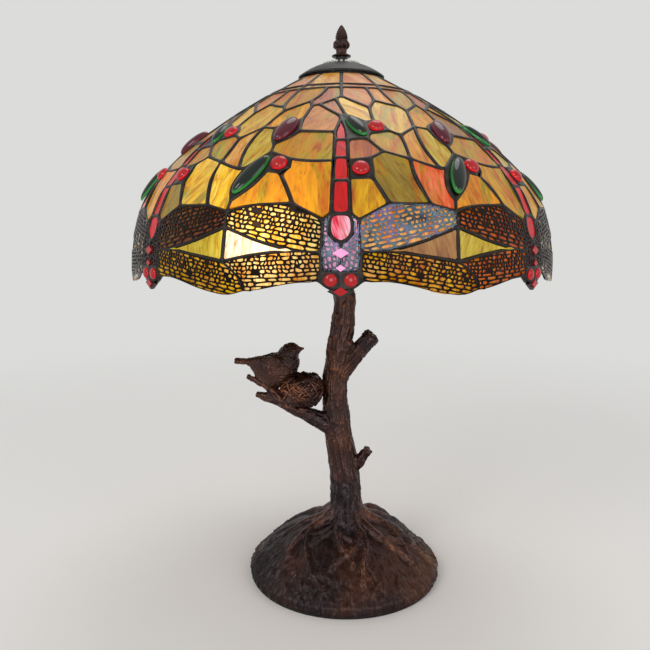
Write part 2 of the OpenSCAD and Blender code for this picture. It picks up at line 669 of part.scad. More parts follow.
function ring_of(line, i, n) = let (t = along(line, i), e = unit(cross(t, [0, 1, 0])), g = cross(t, e))
    [for (k = [0 : n - 1]) spot(line[i]) + line[i][3] * (cos(360 * k / n) * e + sin(360 * k / n) * g)];
module limb(line, n) {
    rings = len(line);
    polyhedron(
        points = [for (i = [0 : rings - 1]) each ring_of(line, i, n)],
        faces = concat([[for (k = [0 : n - 1]) k]],
            [for (i = [0 : rings - 2]) for (k = [0 : n - 1]) each [
                [i * n + k, (i + 1) * n + k, i * n + (k + 1) % n],
                [i * n + (k + 1) % n, (i + 1) * n + k, (i + 1) * n + (k + 1) % n]]],
            [[for (k = [n - 1 : -1 : 0]) (rings - 1) * n + k]]));
}
trunk_sides = 20;
limb_sides = 14;
// The trunk's ends are cut flat where it stands on the mound and where it holds the collar
trim = 60;
module trunk_shape() difference() {
    limb(trunk_line, trunk_sides);
    translate([-trim, -trim, mound_top - trim]) cube([2 * trim, 2 * trim, trim]);
    translate([-trim, -trim, trunk_top]) cube([2 * trim, 2 * trim, trim]);
}
module trunk() color("#4a3026") difference() {
    trunk_shape();
    pipe_hole(mound_top, trunk_top - mound_top);
}
module stub_branch() color("#5c3c2c") difference() {
    limb(stub_line, limb_sides);
    limb(trunk_line, trunk_sides);
}
nest_place = [-40, -8, 184];
nest_foot_r = nest_r * 0.62;
nest_floor = 8;
nest_lip = 2;
nest_flare = 4;
pin_r = 1.5;
pin_len = 14;
pin_top = 6;
pin_y = 1;
module nest_branch() color("#4a3026") difference() {
    union() {
        limb(branch_line, limb_sides);
        limb(perch_line, limb_sides);
    }
    limb(trunk_line, trunk_sides);
    nest_block();
    nest_pin_shape(slip);
    bird_leg_shapes(slip);
}
// The room that the nest takes
module nest_block() translate(nest_place - [0, 0, joint_half])
    cylinder(h = nest_h + joint_half, r1 = nest_foot_r + joint_half, r2 = nest_r + joint_half, $fn = 48);
module nest() color("#5a3a28") difference() {
    translate(nest_place) cylinder(h = nest_h, r1 = nest_foot_r, r2 = nest_r, $fn = 48);
    translate(nest_place + [0, 0, nest_floor])
        cylinder(h = nest_h, r1 = nest_foot_r - nest_lip, r2 = nest_r - nest_wall + nest_flare,
            $fn = 48);
    nest_pin_shape(slip);
}
module nest_pin_shape(c) translate(nest_place + [0, pin_y, pin_top - pin_len])
    cylinder(h = pin_len + c, r = pin_r + c, $fn = 24);
module nest_pin() color("#b8b8b0") nest_pin_shape(0);
leg_r = 1.3;
leg_x = [-73, -66];
leg_y = -8;
leg_z = 198;
leg_len = 18;
module bird_leg_shapes(c) for (x = leg_x) translate([x, leg_y, leg_z])
    cylinder(h = leg_len + c, r = leg_r + c, $fn = 24);
module bird_legs() color("#33241c") bird_leg_shapes(0);
module bird() color("#4a2e22") difference() {
    limb(bird_line, bird_sides);
    bird_leg_shapes(slip);
}

/* ---- Glass ---- */
module crown_glass() color("#e0a95e") panes(crown_cells);
module band_glass() color("#c08a6a") panes(band_cells);
module upper_glass() color("#b8764c") panes(upper_cells);
module middle_glass() color("#e0a848") panes(middle_cells);
module lower_glass() color("#b8904a") panes(lower_cells);
module skirt_glass() color("#d09040") panes(skirt_cells);
module gap_glass() color("#c8c040") panes(gap_cells);
module spine_glass() color("#c03236") panes(spine_cells);
module thorax_glass() color("#e8a0cc") panes(thorax_cells);
module body_glass() color("#a898c0") panes(body_cells);
module upper_wing_glass() color("#e0b060") panes(upper_wing_cells);
module lower_wing_glass() color("#e0b060") panes(lower_wing_cells);
module wing_filigree() color("#2a1c12") round_the_lamp()
    for (c = concat(upper_wing_cells, lower_wing_cells)) wing_sheet(c);
module solder(cells) color("#1a1410") round_the_lamp() for (c = cells) solder_line(c);
module upper_solder() solder(concat(crown_cells, band_cells, upper_cells));
module middle_solder() solder(concat(middle_cells, lower_cells));
module skirt_solder() solder(concat(skirt_cells, gap_cells));
module body_solder() solder(concat(spine_cells, thorax_cells));
module wing_solder() solder(concat(upper_wing_cells, lower_wing_cells));
module jewel_bezels() color("#1a1410") round_the_lamp() {
    oval_bezel(garnet, garnet_cell);
    oval_bezel(green_upper, green_upper_cell);
    oval_bezel(green_lower, green_lower_cell);
    round_bezel(jewel_upper, upper_cell);
    round_bezel(jewel_lower, lower_cell);
    round_bezel(jewel_spine, spine_cell);
    round_bezel(eye, eye_cell);
    round_bezel([flip1(eye[0]), eye[1]], flip(eye_cell));
}
module garnet_cabochons() color("#5a0f1e") round_the_lamp() cabochon(garnet);
module green_cabochons() color("#0f3a1c") round_the_lamp() {
    cabochon(green_upper);
    cabochon(green_lower);
}
module red_jewels() color("#b3121f") round_the_lamp()
    for (j = [jewel_upper, jewel_lower, jewel_spine]) round_jewel(j);
module eye_jewels() color("#b3121f") round_the_lamp() {
    round_jewel(eye);
    round_jewel([flip1(eye[0]), eye[1]]);
}

felt_pad();
base_plate();
base_screws();
root_mound();
cord_grommet();
lamp_pipe();
clamp_nut();
clamp_washer();
lock_washer();
trunk();
stub_branch();
nest_branch();
nest();
nest_pin();
bird();
bird_legs();
trunk_collar();
cluster_housing();
cluster_lid();
socket_shells();
socket_liners();
centre_contacts();
riser_rod();
rod_coupling();
rest_wheel();
wheel_nuts();
bulb_front();
bulb_front_cap();
bulb_back();
bulb_back_cap();
crown_ring();
crown_glass();
band_glass();
upper_glass();
middle_glass();
lower_glass();
skirt_glass();
gap_glass();
spine_glass();
thorax_glass();
body_glass();
upper_wing_glass();
lower_wing_glass();
wing_filigree();
upper_solder();
middle_solder();
skirt_solder();
body_solder();
wing_solder();
jewel_bezels();
garnet_cabochons();
green_cabochons();
red_jewels();
eye_jewels();
vent_cap();
finial_bush();
finial();
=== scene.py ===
"""Leaded-glass table lamp: a dragonfly shade on a cast tree-trunk stand with a bird and its nest."""
import bmesh
import bpy
import math
import random
from mathutils import Matrix, Vector, noise


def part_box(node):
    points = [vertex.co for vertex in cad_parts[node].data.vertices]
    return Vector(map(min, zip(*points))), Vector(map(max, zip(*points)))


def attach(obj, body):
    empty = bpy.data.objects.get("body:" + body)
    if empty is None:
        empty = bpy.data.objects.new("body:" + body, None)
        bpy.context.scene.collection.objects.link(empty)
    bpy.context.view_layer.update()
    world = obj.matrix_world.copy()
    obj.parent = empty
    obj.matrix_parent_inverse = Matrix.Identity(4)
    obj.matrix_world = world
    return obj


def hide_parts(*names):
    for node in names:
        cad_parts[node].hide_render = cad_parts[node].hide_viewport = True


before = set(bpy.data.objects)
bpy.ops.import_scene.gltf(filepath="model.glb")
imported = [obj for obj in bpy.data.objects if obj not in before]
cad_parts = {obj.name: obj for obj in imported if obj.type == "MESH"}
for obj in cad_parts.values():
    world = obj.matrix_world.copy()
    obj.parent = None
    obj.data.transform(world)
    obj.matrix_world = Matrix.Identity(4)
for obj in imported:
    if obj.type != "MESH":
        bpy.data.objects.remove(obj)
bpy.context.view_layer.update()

MM = 0.001

# ---------------------------------------------------------------- dome of the shade
# Down the glass from the crown the outside is four arcs: their lengths and the slopes where they meet
ARC_LENGTHS = (110, 65, 30, 80)
ARC_SLOPES = (27.2, 36.5, 50.5, 72, 101)
CROWN_RADIUS = 40
RING_LOW, RING_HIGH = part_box("crown_ring")
CROWN_Z = (RING_LOW[2] + RING_HIGH[2]) / 2 / MM
REPEATS = 7
PITCH = 51.43
HALF = PITCH / 2


def dome_profile(s):
    """Radius and height, in millimetres, at a distance down the glass."""
    radius, height = CROWN_RADIUS, CROWN_Z
    for i, length in enumerate(ARC_LENGTHS):
        run = s if i == len(ARC_LENGTHS) - 1 else min(s, length)
        start = math.radians(ARC_SLOPES[i])
        bend = math.radians(ARC_SLOPES[i + 1] - ARC_SLOPES[i]) / length
        radius += (math.sin(start + bend * run) - math.sin(start)) / bend
        height -= (math.cos(start) - math.cos(start + bend * run)) / bend
        s -= run
        if s <= 0:
            break
    return radius, height


def on_dome(turn, s, proud=0.0):
    """A place on the dome, in metres, from its turn in degrees, its distance down and how proud it is."""
    radius, height = dome_profile(s)
    further, lower = dome_profile(s + 0.5)
    fall = Vector((further - radius, lower - height)).normalized()
    radius, height = radius - proud * fall.y, height + proud * fall.x
    a = math.radians(turn * 360 / REPEATS / PITCH)
    return Vector((radius * math.sin(a), -radius * math.cos(a), height)) * MM


# ---------------------------------------------------------------- pattern of one repeat
# Each point is its turn from the dragonfly's middle and its distance down the glass
POINTS = dict(
    y0=(0, 0), y1=(HALF, 0), y2=(0, 35), y3=(HALF, 35),
    a0=(0, 44), a1=(0.2, 60), b0=(15.5, 44), b1=(16, 60), c0=(24.5, 44), c1=(24, 63), d0=(-9, 44),
    d1=(-10, 60), e0=(27.7, 89), e1=(26.4, 99), f0=(-14, 74), g0=(-12.4, 83), g1=(-12.8, 95),
    h0=(-9.4, 80.7), h1=(-0.6, 101.2), i0=(-2.6, 70), i1=(-1.8, 76), i2=(0.2, 89), j0=(0.2, 65),
    k0=(11.6, 87), k1=(11.1, 95), m0=(15.4, 72.5), m1=(21, 79), n0=(25.5, 81), o1=(23.7, 131),
    o2=(23.4, 147), o3=(24.3, 159), p0=(24.8, 117), q0=(18.1, 130), q1=(18.2, 147), t0=(17.8, 159),
    t1=(17.4, 175), t2=(18.2, 185), t3=(19.8, 201), r0=(25.2, 168), r1=(21.8, 165), u0=(-18.9, 151),
    v0=(-12.7, 159.5), v1=(-7.4, 162.5), w0=(-14.4, 175), w1=(-12.4, 185), x0=(-10.5, 200.5),
    x1=(9, 190), z0=(9.6, 147), z1=(11.2, 151.5), z2=(7.4, 159),
    # round the garnet oval
    fa=(-13.7, 108), fb=(-12.9, 124.5), fc=(-14.9, 134), fd=(-19.1, 141), fe=(-21.6, 133),
    ff=(-21.6, 119), fg=(-18.6, 107.5), fh=(-16, 104.5),
    # round the upper green oval and its round jewel
    ca=(1.9, 101.8), cb=(5.6, 105), cc=(8.1, 112.5), cd=(7.7, 120), ce=(8.5, 128.6), cf=(7.6, 136),
    cg=(4.1, 134.5), da=(11.1, 109.6), db=(14.6, 115.5), dc=(14.6, 124), dd=(11.1, 129),
    # round the lower green oval and its round jewel
    ga=(-20.8, 156), gb=(-24.4, 167.5), gc=(-26, 180), gd=(-26.5, 189), ge=(-25.2, 197),
    gf=(-22.2, 189), gg=(-19.4, 180), gh=(-18.1, 171), gi=(-18.3, 160.5), ha=(-15.6, 155),
    hb=(-12.7, 168), hc=(-15, 173.2),
    # round the jewel beside the spine
    ba=(1.85, 161.5), bb=(7.7, 167), bc=(7.2, 178.5), bd=(1.9, 179.5),
    # spine, thorax and head
    s0=(0, 107), s1=(1.1, 117), s2=(1.8, 127), s3=(1.8, 137.5), s4=(1.8, 158.5), s5=(1.85, 181.5),
    s6=(2, 208), th=(2.7, 214), ti=(2.7, 223), tj=(1.2, 229), tk=(4.1, 236), tl=(4.1, 250),
    tm=(4.9, 256.5), tn=(3.2, 261.5), to=(0, 268.5), tp=(0, 250), tq=(0, 229), tr=(0, 261.5),
    # upper wing
    wa=(3.8, 213), wb=(8.5, 204), wc=(10.5, 200.5), wd=(15, 200.8), we=(23.7, 204),
    wf=(HALF, 206.5), wg=(HALF, 217.5), wh=(22, 221.5), wi=(18, 227.5), wj=(13, 231.5),
    wk=(9.5, 235),
    # lower wings, long on the right and short on the left
    lb=(15, 238), lc=(20, 240.3), ld=(HALF - 0.2, 243.5), le=(27.9, 249), lf=(30, 254.5),
    lg=(30.9, 260), lh=(30.7, 264.5), li=(28.5, 266.8), lj=(25.5, 267.8), lk=(19.5, 264.3),
    ll=(14, 259.5), lm=(10, 257), nb=(-14, 236.3), nc=(-19, 238.3), nd=(-23, 241.5),
    ne=(-17, 263), nf=(-10, 258),
)
# Cells of each glass, each a round of points: "~" mirrors one, "-" and "+" take it from the next repeat
CELLS = {
    "crown": ["~y1 y0 y2 ~y3", "y0 y1 y3 y2"],
    "band": ["~y3 y2 a0 d0 c0-", "y2 y3 c0 b0 a0"],
    "upper": ["c0- d0 d1 f0 e0- n0- c1-", "d0 a0 a1 j0 i0 h0 g0 f0 d1", "a0 b0 b1 m0 k0 j0 a1",
              "b0 c0 c1 n0 m1 m0 b1"],
    "middle": ["e0- f0 g0 g1 fa fh fg ff p0- e1-", "g0 h0 h1 s0 ~s1 ~s2 fb fa g1",
               "h0 i0 i1 i2 ca h1", "i0 j0 k0 k1 da cc cb ca i2 i1",
               "m0 m1 n0 e0 e1 p0 q0 dc db da k1 k0"],
    "lower": ["ce dd dc q0 q1 t0 z1 z0 cf", "s3 cg cf z0 z1 z2 ba s4",
              "fb ~s2 ~s3 ~s4 ~ba v1 v0 ha u0 fd fc", "p0- ff fe fd u0 ga gb r0- o3- o2- o1-",
              "q0 p0 o1 o2 o3 r0 r1 t0 q1"],
    "skirt": ["v0 v1 ~ba ~s5 ~s6 ~wa ~wb x0 w1 w0 hb", "t0 r1 r0 gb+ gc+ gd+ ge+ wf we t3 t2 t1",
              "z2 z1 t0 t1 t2 t3 wd wc x1 bc bb", "bd bc x1 wc wb wa s6 s5",
              "w0 w1 x0 ~wd ~t3 ~we ~wf ge gf gg gh hc"],
    "gap": ["wg ld lc lb wk wj wi wh", "~wg ~wh ~wi ~wj ~wk nb nc nd ld-"],
    "spine": ["s0 s1 s2 s3 ~s3 ~s2 ~s1", "s3 s4 ~s4 ~s3", "s4 s5 ~s5 ~s4", "s5 s6 ~s6 ~s5",
              "tn to ~tn tr"],
    "thorax": ["s6 th ti tj tq ~tj ~ti ~th ~s6"],
    "body": ["s6 wa tk tl tp tq tj ti th", "~th ~ti ~tj tq tp ~tl ~tk ~wa ~s6"],
    "upper_wing": ["wa wb wc wd t3 we wf wg wh wi wj wk tk",
                   "~tk ~wk ~wj ~wi ~wh ~wg ~wf ~we ~t3 ~wd x0 ~wb ~wa"],
    "lower_wing": ["tk wk lb lc ld le lf lg lh li lj lk ll lm tm tl",
                   "~tk ~tl ~tm nf ne lh- lg- lf- le- ld- nd nc nb ~wk"],
    "jewel": ["fa fb fc fd fe ff fg fh", "ca cb cc cd ce cf cg s3 s2 s1 s0 h1",
              "u0 ga gb gc gd ge gf gg gh gi", "cc da db dc dd ce cd", "ha v0 hb hc gh gi u0",
              "ba z2 bb bc bd", "tp tl tm tn tr", "tp tr ~tn ~tm ~tl"],
}
# Two colours of streak for each cell of each glass: the front repeat's first, then those of the others
PALETTE = {
    "crown": ["e6b062 f4d6a0", "dc9668 ecc4a4", "cfc08c e8e4b8", "d8b070 eedcae"],
    "band": ["c9a284 dcc0a0", "c9805c dca888", "c8b090 e0d0b4"],
    "upper": ["b8924a d9a860", "a8664a c4866a", "c27850 e6a05c", "e0964a f2bc74",
              "c8b070 dccc90", "c8784c e09a70", "b09858 cdb878"],
    "middle": ["f0b048 f8cc78", "bc7e48 d89c60", "8a6444 a88058", "f2c84a f8dc88",
               "dcb850 ecd078", "e09848 f0b870", "c8c068 e0dc98"],
    "lower": ["a8893a c4a452", "98583f b87a56", "cc8040 a8a242", "b8a850 d2c472",
              "b98448 dca866", "d8a460 ecc48c", "a89248 c8b468"],
    "skirt": ["e89a40 f2ba66", "d8604c ea947e", "7e6c34 9a8a4a", "c8a040 e2ba58",
              "da9850 f0b466", "f4c850 fce88c", "8e8e3e aaa858"],
    "gap": ["8a6238 a88458", "e8dcb4 f4f0dc", "b0a040 d0c468", "a08a50 bca870"],
    "spine": ["b81e26 d0363c"], "thorax": ["e0506c f6cce8", "b01c2a d84450"],
    "body": ["d890c8 f0c8ec", "5a2438 8c4858"],
}
# The same for the wings, by their order round the lamp from the front dragonfly's right ones
WING_PALETTE = {
    "upper_wing": {0: "dc9868 f4d098", 1: "8a3420 cc7048", 2: "a0a098 e0e0d8", 11: "a0a098 e0e0d8",
                   12: "4a2416 7c4426", 13: "ecb048 fff0b0"},
    "lower_wing": {0: "c87c28 f2c862", 1: "a84028 e08850", 2: "a0a098 e0e0d8", 11: "a0a098 e0e0d8",
                   12: "b07c28 ecc858", 13: "d8a868 f8e8b0"},
}
OTHER_WINGS = ("6a3a1c a0682c", "b07030 e0b060", "8a4824 c88850")


def read_point(word):
    """The turn and distance that a cell's word stands for."""
    turn, s = POINTS[word.strip("~+-")]
    turn = -turn if word.startswith("~") else turn
    return turn + PITCH * (word.endswith("+") - word.endswith("-")), s


# ---------------------------------------------------------------- colours and materials
def linear(hex_colour):
    """A linear colour with full alpha from an sRGB hex one."""
    parts = [int(hex_colour[i:i + 2], 16) / 255 for i in (0, 2, 4)]
    return tuple(c / 12.92 if c <= 0.04045 else ((c + 0.055) / 1.055) ** 2.4 for c in parts) + (1.0,)


def add(tree, kind, inputs=None, **settings):
    """Adds a shader node with its settings, its values and its links; a node stands for its first output."""
    made = tree.nodes.new("ShaderNode" + kind)
    for name, value in settings.items():
        setattr(made, name, value)
    for name, value in (inputs or {}).items():
        value = value.outputs[0] if isinstance(value, bpy.types.Node) else value
        if isinstance(value, bpy.types.NodeSocket):
            tree.links.new(value, made.inputs[name])
        else:
            made.inputs[name].default_value = value
    return made


def new_material(name, look, *values):
    """A material whose shader is made by its look, a function of its tree and values."""
    made = bpy.data.materials.new(name)
    made.use_nodes = True
    tree = made.node_tree
    tree.nodes.clear()
    add(tree, "OutputMaterial", {"Surface": look(tree, *values)})
    return made


def ramp(tree, factor, stops):
    """A colour ramp from places and sRGB hex colours."""
    made = add(tree, "ValToRGB", {"Fac": factor})
    elements = made.color_ramp.elements
    while len(elements) < len(stops):
        elements.new(0.5)
    for element, (place, colour) in zip(elements, stops):
        element.position, element.color = place, linear(colour)
    return made.outputs["Color"]


# Patterns on the glass sheet: repeats a metre across and down it (so streaks are 2 mm wide), their place
# on it, and their noise's detail, roughness and distortion
SHEET_PATTERNS = {"drift": ((75, 26, 1), (0, 0, 0), 3, 0.55, 0.8),
                  "wisps": ((170, 36, 1), (3, 7, 0), 4, 0.6, 1.6),
                  "streaks": ((480, 40, 1), (0, 0, 0), 3, 0.6, 0.6),
                  "guest": ((62, 19, 1), (11, 5, 0), 3, 0.6, 1.0)}


def sheet_pattern(tree, name):
    """One of the sheet's stretched noises."""
    scale, spot, detail, roughness, distortion = SHEET_PATTERNS[name]
    place = add(tree, "UVMap", uv_map="sheet").outputs["UV"]
    way = add(tree, "Mapping", {"Vector": place, "Scale": scale, "Location": spot})
    return add(tree, "TexNoise", {"Vector": way, "Scale": 1, "Detail": detail,
                                  "Roughness": roughness, "Distortion": distortion}).outputs["Fac"]


def streaky_glass(tree):
    """Rolled opalescent sheet: two colours drift into each other, with brown wisps and fine streaks."""
    drift, wisps, streaks, guest = (sheet_pattern(tree, name) for name in SHEET_PATTERNS)
    both = add(tree, "Math", {0: drift, 1: streaks}, operation="ADD")
    spread = add(tree, "MapRange", {"Value": both, "From Min": 0.8, "From Max": 1.2})
    base = add(tree, "VertexColor", layer_name="sheet_colour")
    milk = add(tree, "VertexColor", layer_name="streak_colour")
    colour = add(tree, "Mix", {"Factor": spread, "A": base.outputs["Color"],
                               "B": milk.outputs["Color"]}, data_type="RGBA")
    # A third hue rolled into some sheets, as far as the colour's alpha lets it
    hue = ramp(tree, drift, [(0.4, "b85c1c"), (0.5, "b08a30"), (0.6, "7e8430")])
    patches = add(tree, "MapRange", {"Value": guest, "From Min": 0.46, "From Max": 0.62, "To Max": 0.8})
    share = add(tree, "Math", {0: patches, 1: base.outputs["Alpha"]}, operation="MULTIPLY")
    mixed = add(tree, "Mix", {"Factor": share, "A": colour.outputs["Result"], "B": hue},
                data_type="RGBA")
    brown = add(tree, "MapRange", {"Value": wisps, "From Min": 0.5, "From Max": 0.68, "To Max": 0.75})
    tint = add(tree, "Mix", {"Factor": brown, "A": linear("f2e6d8"), "B": linear("b87048")},
               data_type="RGBA")
    shade = add(tree, "Mix", {"Factor": 1.0, "A": mixed.outputs["Result"], "B": tint.outputs["Result"]},
                data_type="RGBA", blend_type="MULTIPLY")
    rich = add(tree, "HueSaturation", {"Color": shade.outputs["Result"], "Saturation": 1.12, "Value": 0.93})
    # Painted glow: emission in the glass's own colour stands for the bulb's light shining through it
    glow = add(tree, "Attribute", attribute_name="glow").outputs["Fac"]
    bump = add(tree, "Bump", {"Height": wisps, "Strength": 0.4, "Distance": 0.8 * MM})
    return add(tree, "BsdfPrincipled", {
        "Base Color": rich, "Roughness": 0.3, "IOR": 1.45, "Emission Color": rich,
        "Emission Strength": glow, "Normal": bump})


def grain_of(tree, scale, detail, roughness=0.5):
    """Noise fixed to a piece, its repeats a metre given: 160 is about 6 mm, 420 about 2 mm."""
    place = add(tree, "TexCoord").outputs["Object"]
    return add(tree, "TexNoise", {"Vector": place, "Scale": scale, "Detail": detail,
                                  "Roughness": roughness}).outputs["Fac"]


def blackened_solder(tree):
    """Tin solder run over copper foil and patinated: nearly black, lumpy, with a soft pewter shine."""
    mottle = grain_of(tree, 160, 3)
    colour = ramp(tree, mottle, [(0.3, "0d0a08"), (0.55, "1c1510"), (0.8, "3a2c20")])
    rough = add(tree, "MapRange", {"Value": mottle, "To Min": 0.26, "To Max": 0.5})
    bump = add(tree, "Bump", {"Height": grain_of(tree, 380, 2), "Strength": 0.5, "Distance": 0.4 * MM})
    return add(tree, "BsdfPrincipled", {"Base Color": colour, "Metallic": 0.45, "Roughness": rough,
                                        "Normal": bump})


def oxidised_brass(tree):
    """Etched brass sheet, oxidised: dark brown with copper on its edges and a painted blue-green reflection
    in places.
    """
    oxide_and_painted_reflection = grain_of(tree, 38, 4, 0.6)
    tone = ramp(tree, oxide_and_painted_reflection, [(0.3, "100a08"), (0.55, "241610"), (0.75, "3c2818")])
    # Where the net has a painted reflection of the studio, blue-green over the oxide
    tint = add(tree, "Attribute", attribute_name="oxide_and_painted_reflection").outputs["Fac"]
    painted_reflection_colour = ramp(tree, oxide_and_painted_reflection, [(0.36, "343c4a"), (0.48, "5c707c"), (0.6, "786c94")])
    colour = add(tree, "Mix", {"Factor": tint, "A": tone, "B": painted_reflection_colour}, data_type="RGBA")
    return add(tree, "BsdfPrincipled", {"Base Color": colour.outputs["Result"], "Metallic": 0.85,
                                        "Roughness": 0.34})


def pressed_jewel(tree, deep, bright, light):
    """Pressed, fire-polished glass: deep in the middle, with a painted highlight where light gathers at its
    rim and a faint painted glow, glossy.
    """
    rim = add(tree, "Attribute", attribute_name="rim").outputs["Fac"]
    colour = ramp(tree, rim, [(0.0, deep), (0.55, deep), (0.95, bright)])
    return add(tree, "BsdfPrincipled", {"Base Color": colour, "Roughness": 0.05, "IOR": 1.45,
                                        "Emission Color": colour, "Emission Strength": light})


def patinated_bronze(tree):
    """Cast metal with a brown-black bronze patina, rubbed back to copper on whatever stands proud, and
    lighter copper as a painted highlight where a piece marks one.
    """
    wear_and_highlight = add(tree, "Attribute", attribute_name="wear_and_highlight").outputs["Fac"]
    patches = grain_of(tree, 16, 4, 0.55)
    grain = grain_of(tree, 420, 3, 0.7)
    base = ramp(tree, patches, [(0.3, "1a1316"), (0.45, "281a1a"), (0.56, "3a221c"), (0.68, "4c2e20"),
                                (0.8, "5c4022")])
    rubbed_and_highlit = ramp(tree, patches, [(0.38, "584c52"), (0.52, "7a4c3c"), (0.66, "a8683c")])
    mottled = add(tree, "Math", {0: wear_and_highlight, 1: grain}, operation="MULTIPLY")
    rubbed_and_highlit_share = add(tree, "MapRange", {"Value": mottled, "From Min": 0.36, "From Max": 0.6,
                                  "To Max": 0.9})
    colour = add(tree, "Mix", {"Factor": rubbed_and_highlit_share, "A": base, "B": rubbed_and_highlit}, data_type="RGBA")
    rough = add(tree, "MapRange", {"Value": grain, "To Min": 0.24, "To Max": 0.5})
    bump = add(tree, "Bump", {"Height": grain, "Strength": 0.35, "Distance": 0.4 * MM})
    return add(tree, "BsdfPrincipled", {
        "Base Color": colour.outputs["Result"], "Metallic": 0.6, "Roughness": rough,
        "Normal": bump})


def turned_metal(tree, dark, light, roughness, metallic=1.0):
    """Turned or stamped metal: faint handling marks vary its tone and its shine."""
    marks = grain_of(tree, 60, 5, 0.6)
    rough = add(tree, "MapRange", {"Value": marks, "To Min": roughness * 0.7, "To Max": roughness * 1.35})
    return add(tree, "BsdfPrincipled", {"Base Color": ramp(tree, marks, [(0.3, dark), (0.7, light)]),
                                        "Metallic": metallic, "Roughness": rough})


def matt_stuff(tree, dark, light, roughness, grain_mm, bump_mm):
    """Felt, rubber or porcelain: one tone broken by its own grain."""
    grain = grain_of(tree, 1 / (grain_mm * MM), 3)
    bump = add(tree, "Bump", {"Height": grain, "Distance": bump_mm * MM})
    return add(tree, "BsdfPrincipled", {"Base Color": ramp(tree, grain, [(0.3, dark), (0.7, light)]),
                                        "Roughness": roughness, "Normal": bump})


def frosted_bulb(tree):
    """Soda-lime bulb with a frosted inside, lit: an even warm white."""
    colour = ramp(tree, grain_of(tree, 900, 2), [(0.3, "fff0d0"), (0.7, "fff6e4")])
    return add(tree, "BsdfPrincipled", {"Base Color": colour, "Roughness": 0.22, "IOR": 1.52,
                                        "Emission Color": colour, "Emission Strength": 1.2})


GLASS = new_material("streaky_opalescent_glass", streaky_glass)
SOLDER = new_material("blackened_solder", blackened_solder)
BRASS_NET = new_material("oxidised_brass", oxidised_brass)
RUBY = new_material("ruby_glass", pressed_jewel, "980810", "ea1c26", 0.25)
GARNET = new_material("garnet_glass", pressed_jewel, "4c0a1c", "701428", 0.1)
EMERALD = new_material("emerald_glass", pressed_jewel, "06160c", "38a048", 0.05)
PINK = new_material("rose_glass", pressed_jewel, "dc88bc", "f4c0e0", 0.15)
BRONZE = new_material("patinated_bronze", patinated_bronze)
CAP_BRONZE = new_material("darkened_bronze", turned_metal, "100f0e", "26221e", 0.45, 0.4)
# Pale metal for the beads round the cap's neck, which stand for glints of light: painted highlights
GLINT_PEWTER = new_material("pewter_painted_glints", turned_metal, "84847c", "bcbcb2", 0.34)


# ---------------------------------------------------------------- making pieces
def in_scene(name, data):
    """A new object in the scene that holds some data."""
    made = bpy.data.objects.new(name, data)
    bpy.context.scene.collection.objects.link(made)
    return made


def mesh_of(name, bm):
    """A new mesh from a bmesh, which it uses up."""
    mesh = bpy.data.meshes.new(name)
    bm.to_mesh(mesh)
    bm.free()
    return mesh


def piece(name, bm, body, material, replaces=(), smooth=True):
    """A finished mesh object that rides on a body, at the origin with its place in its mesh."""
    mesh = mesh_of(name, bm)
    made = in_scene(name, mesh)
    mesh.polygons.foreach_set("use_smooth", [smooth] * len(mesh.polygons))
    mesh.materials.append(material)
    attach(made, body)
    if replaces:
        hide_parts(*replaces)
    return made


def add_plate(bm, front, back):
    """The faces of a plate between a front and a back round of vertices."""
    faces = [bm.faces.new(front), bm.faces.new(back[::-1])]
    for i, vert in enumerate(front):
        faces.append(bm.faces.new((front[i - 1], back[i - 1], back[i], vert)))
    return faces


def on_curve(a, b, c, d, t):
    """The place a share t of the way from b to c, on the smooth curve through all four."""
    return 0.5 * (2 * b + (c - a) * t + (2 * a - 5 * b + 4 * c - d) * t * t
                  + (3 * b - a - 3 * c + d) * t ** 3)


# ---------------------------------------------------------------- glass and solder from the pattern
# Painted hot spot: where the bulb's light through the glass is painted strongest, and how far it spreads
BULB_SPOT = on_dome(-17, 228)
BULB_REACH = 30 * MM
LEAD_HALF = {"wing": 1.3 * MM, "line": 2.05 * MM}
GLASS_HALF = 1.4 * MM
# How far the solder stands out at a joint's edge and on its crest, and how deep it is, in millimetres
BEAD_EDGE, BEAD_CREST, BEAD_DEPTH = 1.7, 2.9, 5.4
# A pane reaches this far under its solder
PANE_LAP = 0.8 * MM
# A cell's edge is divided so that no part is longer
LONGEST_SIDE = 7 * MM
# How often the lines are eased, and how much of its own place a point keeps
EASINGS, BEND_KEPT = 3, 0.45
# Painted glow: the emission given to all the glass, and its peak at the painted hot spot
GLOW_ALL_OVER, GLOW_AT_BULB = 0.2, 2.2
WINGS = ("upper_wing", "lower_wing")
DEGREE_MM = math.radians(dome_profile(235)[0])
AROUND = PITCH * REPEATS


